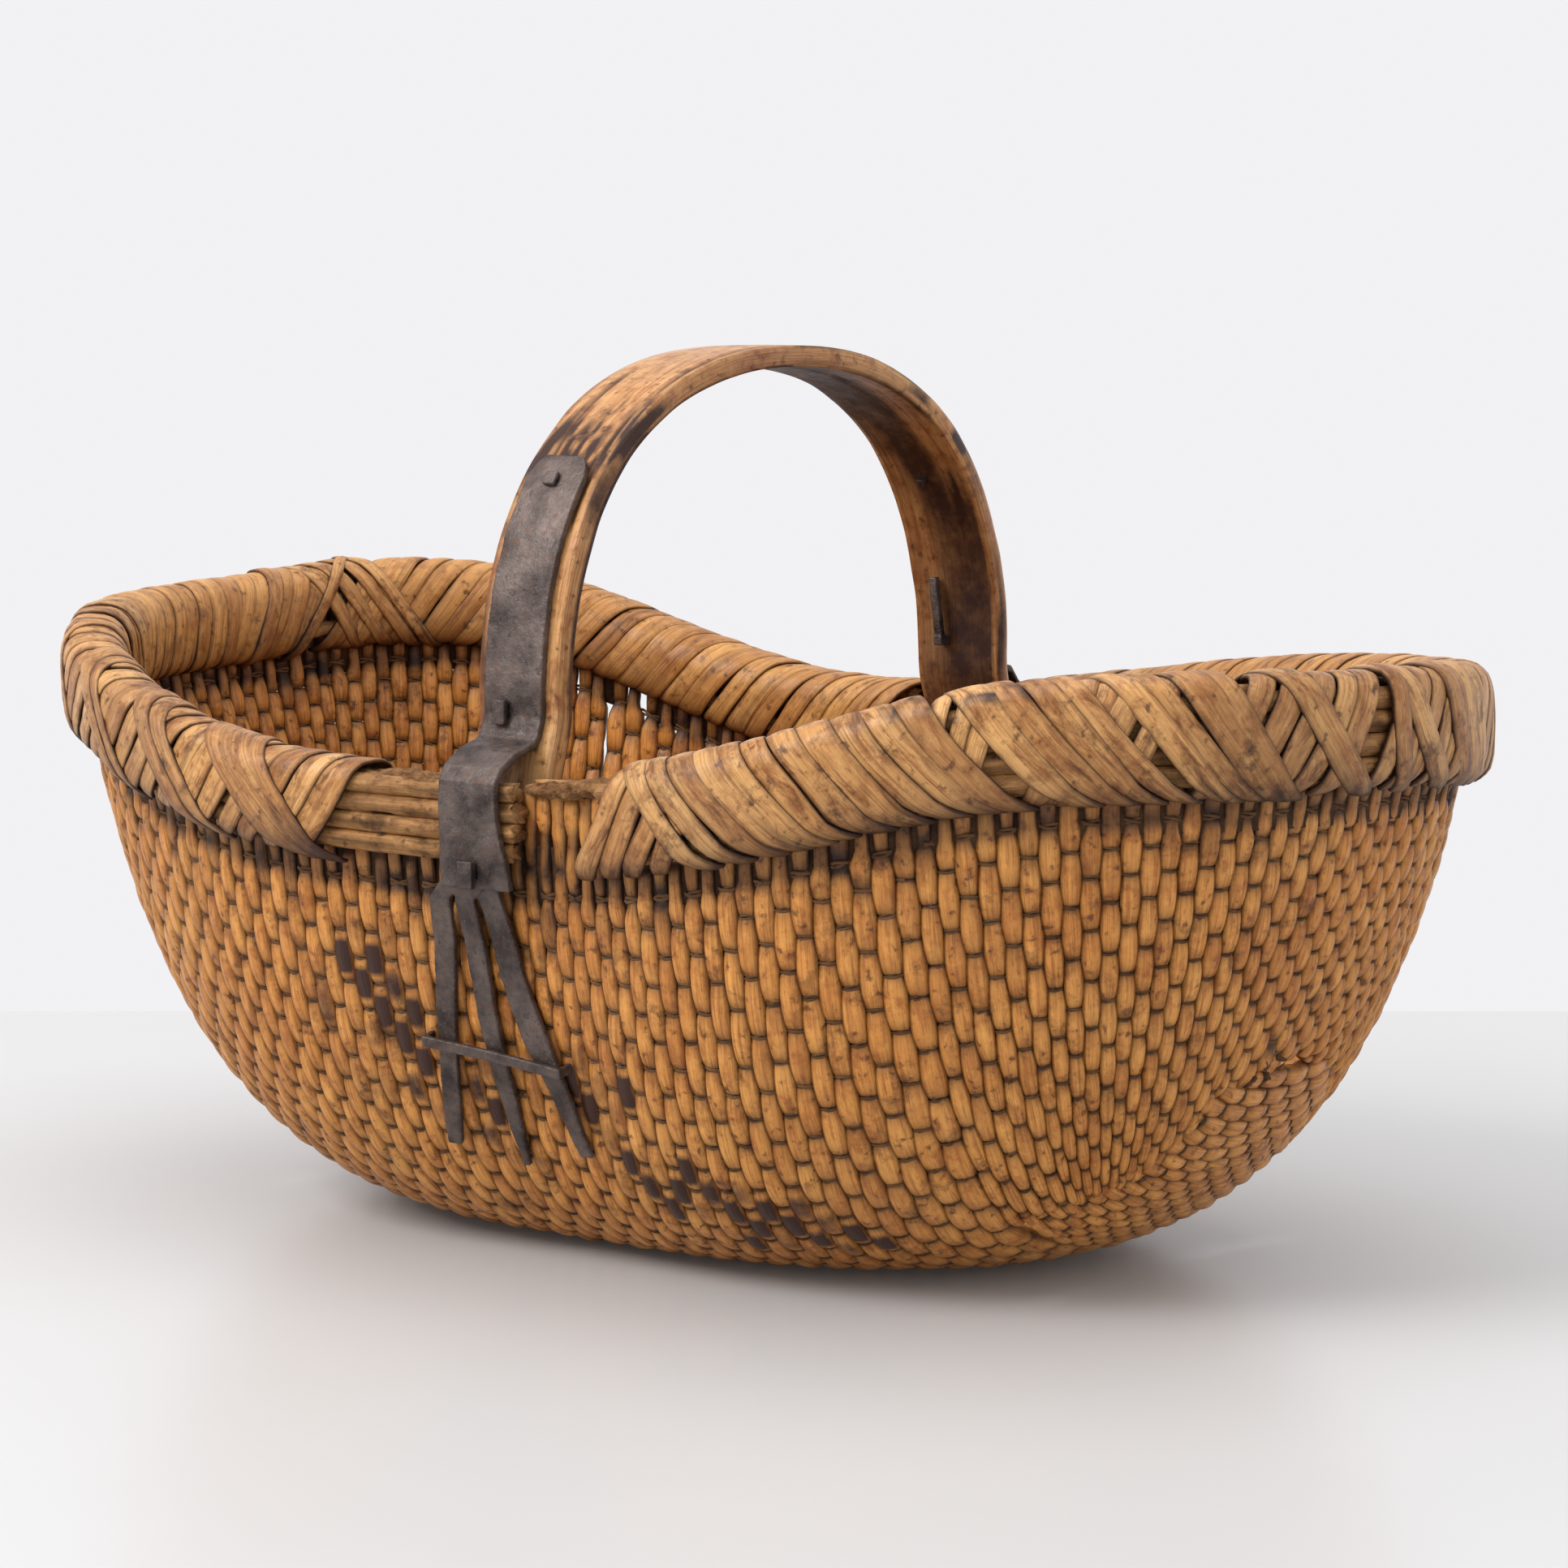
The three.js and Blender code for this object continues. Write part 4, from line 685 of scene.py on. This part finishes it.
row(acc, 716, 770, 10.6, -8, 22, 11.6, 450, tilt=-.4, edark=.5)
row(acc, 770, 850, 9.4, -2, 8, 10.2, 480, tilt=.4, edark=.6)
acc.build('rim_wrapping_far_left', splitin, 'binding')
acc = Acc()
# crossing on the far left
for q, (c, d, w, l) in enumerate(((728, 32, 9, .6), (717, 34, 9, .9), (707, 37, 9, 1.2), (699, 38, 8, 1.5))): strip(acc, c, 20, -d, w, lift=l, seed=900.3 + q, pwi=1.1, tapi=.7)
strip(acc, 703, -10, 36, 6.0, lift=2.3, seed=7.7, pwi=1.0)
strip(acc, 742, -10, 20, 9.0, lift=1.5, seed=8.7, pwi=1.3)
# near left: under layer one way, wide strips over it the other
row(acc, -702, -424, 12.0, -28, -6, 12.4, 500, lift=-.3, tapo=.6)
for q, (c, so, w, bn) in enumerate(((-690, 22, 10, 0), (-650, 32, 10, 0), (-606, 40, 12, .1), (-596, 42, 10, .1), (-553, 42, 13, .1), (-542, 42, 11, .15), (-505, 46, 14, .5), (-494, 44, 13, .8), (-484, 38, 10, .9))):
    strip(acc, c, so, -10, w, lift=1.0, seed=600 + q * 2.3, point=6, tilt=.4, burn=bn, dk=.04)
acc.build('rim_wrapping_near_left', split, 'binding', ('rim_binding_left',))

# thin inner hoop in the wall edge, between the rods, coloured almost black (dark .97, tone 0): painted shade seen
# through the gaps behind the open rod tops
acc = Acc()
for c0, c1 in ((-LR / 2, 527), (532, 561), (566, 569), (575, 589), (597, LR / 2)):
    if c0 < 0:
        parts = [(-LR / 2, near(24)), (near(24), near(72)), (near(72), 527)]
    else: parts = [(c0, c1)]
    for u0, u1 in parts:
        ss = np.linspace(u0, u1, max(3, int((u1 - u0) / 5))); top_ = -10. if u0 == near(24) else 6.; sc = np.array([(-.2, top_), (-1.4, top_), (-2.9, -31.), (-1.7, -31.)])
        S = band(ss[:, None] + 0 * sc[None, :, 0], sc[None, :, 0] + 0 * ss[:, None], sc[None, :, 1] + 0 * ss[:, None])
        acc.loft(S, dict(fib=np.stack([np.broadcast_to(ss[:, None], S.shape[:2]), np.broadcast_to(sc[None, :, 1], S.shape[:2]), np.zeros(S.shape[:2])], -1), tone=np.full(S.shape[:2], .0), dark=np.full(S.shape[:2], .97), burn=np.zeros(S.shape[:2])))
acc.build('wall_edge_shade_sheet', rodm, 'willow')


# earth caught on the bare rim
def earth_mat():
    t = T('dried_earth'); o = t.obj(); n1 = t.noise(o, 180., 6., .7); n2 = t.noise(o, 900., 3., .6)
    c = t.mix(t.rng(n1, .35, .68), col(84, 54, 32), col(158, 116, 76)); c = t.mix(t.rng(n2, .55, .75, 0., .6), c, col(46, 30, 20))
    t.put(t.b.inputs['Base Color'], c); t.b.inputs['Roughness'].default_value = .95; t.b.inputs['Specular IOR Level'].default_value = .15
    t.put(t.b.inputs['Normal'], t.bump(t.math('ADD', n1, n2), .8, .0012)); return t.m


acc = Acc()
for u0, u1, hh, sd in ((near(-58), near(-9), 11.3, 1.), (near(27), near(76), 10.5, 5.)):
    n = 90; ss = np.linspace(u0, u1, n); K = 22; th = np.arange(K) * 2 * np.pi / K
    g = np.stack(np.broadcast_arrays(ss[:, None] * .22, np.cos(th)[None] * 1.6 + sd * 3, np.sin(th)[None] * 1.6), -1)
    r = (1 + .30 * vn(g, 1.) + .16 * vn(g, 2.7) + .08 * vn(g, 6.)) * np.sin(np.pi * np.clip(np.linspace(.02, .98, n), 0, 1))[:, None]**.35
    S = band(ss[:, None] + 0 * r, -1.2 + 8.6 * r * np.cos(th)[None], hh + 3.4 * r * np.sin(th)[None])
    acc.loft(S, dict(dark=np.zeros((n, K))))
acc.build('earth_on_rim', earth_mat(), 'rim_rod')

# ------------------------------------------------------------------ handle bow
BOW = np.array([[-144.32, 105], [-146.9, 120], [-149.35, 135], [-151.16, 150], [-149.2, 166], [-147.2, 182], [-143.6, 195], [-139.8, 206], [-139.39, 221.8], [-137.72, 237.51], [-134.45, 252.97], [-129.35, 267.92], [-122.33, 282.07], [-113.38, 295.08], [-102.63, 306.65], [-90.32, 316.54], [-76.74, 324.62], [-62.23, 330.86], [-47.08, 335.34], [-31.54, 338.19], [-15.8, 339.64], [0, 340]])
BOW = np.concatenate([BOW, (BOW[:-1] * [-1, 1])[::-1]])
L = np.concatenate([[0], np.cumsum(np.linalg.norm(np.diff(BOW, axis=0), axis=1))])
sb = np.linspace(0, L[-1], 330); C = np.stack([np.interp(sb, L, BOW[:, k]) for k in (0, 1)], -1)
for _ in range(10): C[1:-1] = (C[:-2] + 2 * C[1:-1] + C[2:]) / 4
tg = np.gradient(C, axis=0); tg /= np.linalg.norm(tg, axis=1, keepdims=True); nb = np.stack([-tg[:, 1], tg[:, 0]], -1)
acrossw = np.linspace(-1, 1, 19)
sec = [(-20 + .0, -1.6)] + [(-19.4 + 38.8 * (q + 1) / 2, -.0 - .0) for q in acrossw] + [(20, -1.6), (20.1, -4.25), (20, -6.9)] + [(19.4 - 38.8 * (q + 1) / 2, -8.5) for q in acrossw] + [(-20, -6.9), (-20.1, -4.25)]
sec = np.array(sec); K = len(sec); M = len(sb)
X = np.broadcast_to(sec[:, 0][None], (M, K)).copy(); Hh = np.broadcast_to(sec[:, 1][None], (M, K)).copy(); SB = np.broadcast_to(sb[:, None], (M, K))
g3 = np.stack([SB, X, Hh], -1)
edge = np.clip((np.abs(X) - 14) / 6, 0, 1)
X *= 1 - .020 * (1 + vn(np.stack([SB * .02, np.sign(X), 0 * X], -1), 1.)) - .006 * vn(g3 * [.10, .02, .0], 1.)
outer = Hh > -4.3
X += 1.1 * vn(np.stack([SB * .016, np.sign(X) * 3, 0 * X], -1), 1.) * edge + .5 * vn(np.stack([SB * .06, np.sign(X) * 3 + 9, 0 * X], -1), 1.) * edge
Hh += np.where(outer, 0, 1) * (.7 * vn(np.stack([SB * .022 + 5, X * .03, 0 * X], -1), 1.) + .3)
Hh += np.where(outer, -.30, .30) * edge**2 + .30 * vn(g3 * [.012, .10, .3], 1.) + .10 * vn(g3 * [.03, .55, .3], 1.)
ck = vn(g3 * [.010, .30, .0] + [0, 5.2, 0], 1.); crack = np.clip((ck - .50) / .12, 0, 1) * outer
ck2 = vn(g3 * [.008, .34, .0] + [40, 1.2, 0], 1.); crack = np.maximum(crack, np.clip((ck2 - .55) / .10, 0, 1) * (~outer))
Hh += np.where(outer, -1, 1) * crack * .7
S = np.stack([7.5 + X, C[:, None, 0] + nb[:, None, 0] * Hh, C[:, None, 1] + nb[:, None, 1] * Hh], -1)
zz = S[..., 2]; yy = S[..., 1]
chn = np.exp(-((zz - 296) / 15)**2) * np.clip((np.abs(yy) - 70) / 15, 0, 1) * (np.abs(X + .75) < 22)
burnb = outer * (np.exp(-((np.minimum(zz, 301) - 301) / 10)**2) * (zz < 326) * (np.abs(yy) > 70) * np.clip((321 - zz) / 13 + .8 * vn(g3 * [.03, 2.3, .0], 1.), 0, 1) * np.clip(.85 + .9 * vn(g3 * [.10, 2.3, .0], 1.) + .6 * vn(g3 * [.05, .35, .0], 1.), 0, 1))
burnb = np.maximum(burnb, outer * (np.abs(X + .75) > 12.5) * np.clip((302 - zz) / 8, 0, 1) * np.clip((zz - 262) / 25, 0, 1) * (np.abs(yy) > 70) * np.clip(.25 + .9 * vn(g3 * [.03, .5, 0] + 7, 1.), 0, .7))
nin = .5 + .5 * vn(g3 * [.012, .07, 0] + [0, 0, 3.3], 1.)
darkb = .85 * crack + np.where(outer, .04 + .2 * edge**3, .42 + .58 * np.clip((nin - .30) / .30, 0, 1)) + np.where(outer, .1, .30) * np.clip((250 - zz) / 60, 0, 1)
side_ = np.abs(X) > 18.9; darkb = np.where(side_, .15 + .75 * np.clip(vn(g3 * [.03, 0, .9], 1.) * 1.6 - .2, 0, 1), darkb)
darkb += .25 * np.maximum(0, vn(g3 * [.02, .05, .2], 1.))
acc = Acc(); acc.loft(S, dict(fib=np.stack([SB, X, Hh * 2], -1), tone=.5 + .5 * vn(g3 * [.01, .06, 0], 1.), dark=np.clip(darkb, 0, 1), burn=np.clip(burnb, 0, 1)))
acc.build('handle_bow_wood', bowm, 'handle_wood', ('handle_bow',))

# ------------------------------------------------------------------ ironwork, remeshed from the frame so it has worn edges
for nm in ['iron_strap_near', 'iron_strap_far', 'strap_staple_near', 'strap_staple_far', 'nail_top_near', 'nail_top_far', 'nail_mid_near', 'nail_mid_far', 'nail_rim_near', 'nail_rim_far']:
    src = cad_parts[nm]; me = src.data.copy(); ob = bpy.data.objects.new('tmp_' + nm, me); bpy.context.scene.collection.objects.link(ob)
    w = ob.modifiers.new('w', 'WELD'); w.merge_threshold = 1e-6
    m = ob.modifiers.new('r', 'REMESH'); m.mode = 'VOXEL'; m.voxel_size = .00055 if 'strap_' in nm and 'iron' in nm else .0004
    sm = ob.modifiers.new('s', 'SMOOTH'); sm.factor = .5; sm.iterations = 3
    bpy.context.view_layer.update(); dg = bpy.context.evaluated_depsgraph_get()
    out = bpy.data.meshes.new_from_object(ob.evaluated_get(dg)); bpy.data.objects.remove(ob)
    co = np.zeros(len(out.vertices) * 3); out.vertices.foreach_get('co', co); co = co.reshape(-1, 3)
    no = np.zeros(len(out.vertices) * 3); out.vertices.foreach_get('normal', no); no = no.reshape(-1, 3)
    amp = .25 if 'iron' in nm else .12
    if nm == 'iron_strap_far': co[:, 2] -= .0055 * np.clip((co[:, 1] - .152) / .006, 0, 1) * np.clip((co[:, 2] - .182) / .008, 0, 1)
    co += no * (amp * vn(co * 1000, .12) + amp * .6 * vn(co * 1000, .35) - amp * 1.4 * np.maximum(0, vn(co * 1000 + 40, .5) - .55))[:, None] / 1000
    out.vertices.foreach_set('co', co.ravel()); out.materials.clear(); out.materials.append(iron)
    out.polygons.foreach_set('use_smooth', np.ones(len(out.polygons), bool)); out.update(); out.name = nm + '_forged'
    o2 = bpy.data.objects.new(nm + '_forged', out); bpy.context.scene.collection.objects.link(o2)
    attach(o2, "root"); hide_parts(nm)

# ------------------------------------------------------------------ stage, camera, light
def plane(name, c, ux, uy, a, b, mat):
    c, ux, uy = map(np.array, (c, ux, uy)); V = [c + ux * p * a + uy * q * b for p, q in ((-1, -1), (1, -1), (1, 1), (-1, 1))]
    me = bpy.data.meshes.new(name); me.from_pydata([list(v) for v in V], [], [(0, 1, 2, 3)]); me.materials.append(mat)
    o = bpy.data.objects.new(name, me); bpy.context.scene.collection.objects.link(o); return o


def flat(name, c, rough=.6):
    # the floor paper also glows faintly (Emission Strength .015): painted light that lifts the shadows on it
    t = T(name); t.b.inputs['Emission Color'].default_value = (1, 1, 1, 1); t.b.inputs['Emission Strength'].default_value = .015; t.b.inputs['Roughness'].default_value = rough; t.b.inputs['Specular IOR Level'].default_value = .2
    n = t.noise(t.obj(), 3., 3., .5); t.put(t.b.inputs['Base Color'], t.mix(t.rng(n, .3, .7, 0., 1.), col(*c), col(*[v - 4 for v in c]))); return t.m


back = np.array([-.61597, .78777, 0]); right = np.array([.78777, .61597, 0])
plane('floor', np.array([0, 0, -.0003]) + back * (.50 - 3), right, back, 6, 3, flat('floor_paper', (198, 198, 198), .28))
cam = bpy.data.cameras.new('camera'); cam.lens = 102.8445; cam.sensor_width = 36; co = bpy.data.objects.new('camera', cam)
bpy.context.scene.collection.objects.link(co); co.location = (1.08286, -1.35885, .35814); co.rotation_euler = (math.radians(90 - 6.19417), 0, math.radians(38.02416))
bpy.context.scene.camera = co; cam.clip_end = 50


def area(name, loc, target, size, power, c=(1, 1, 1)):
    l = bpy.data.lights.new(name, 'AREA'); l.energy = power; l.size = size; l.color = c; o = bpy.data.objects.new(name, l)
    bpy.context.scene.collection.objects.link(o); o.location = loc; o.rotation_euler = (Vector(target) - Vector(loc)).to_track_quat('-Z', 'Y').to_euler()


area('key', (-1.6, -3.0, 3.0), (0, 0, .12), 2.3, 150, (1, .985, .97))
area('top', (.2, .2, 3.6), (0, 0, 0), 3.4, 62)
area('fill', (3.6, -1.2, 1.6), (0, 0, .15), 2.2, 14)
w = bpy.data.worlds.new('studio'); bpy.context.scene.world = w; w.use_nodes = True; nt = w.node_tree; nt.nodes.clear()
wo = nt.nodes.new('ShaderNodeOutputWorld'); bg = nt.nodes.new('ShaderNodeBackground'); nt.links.new(bg.outputs[0], wo.inputs[0])
tc = nt.nodes.new('ShaderNodeTexCoord'); sx = nt.nodes.new('ShaderNodeSeparateXYZ'); nt.links.new(tc.outputs['Generated'], sx.inputs[0])
mr = nt.nodes.new('ShaderNodeMapRange'); nt.links.new(sx.outputs[2], mr.inputs[0]); mr.inputs[1].default_value = .10; mr.inputs[2].default_value = .55; mr.inputs[3].default_value = .90; mr.inputs[4].default_value = .74
nt.links.new(mr.outputs[0], bg.inputs[1]); bg.inputs[0].default_value = (.985, .98, 1., 1)
bpy.context.scene.view_settings.view_transform = 'Standard'; bpy.context.scene.view_settings.look = 'None'
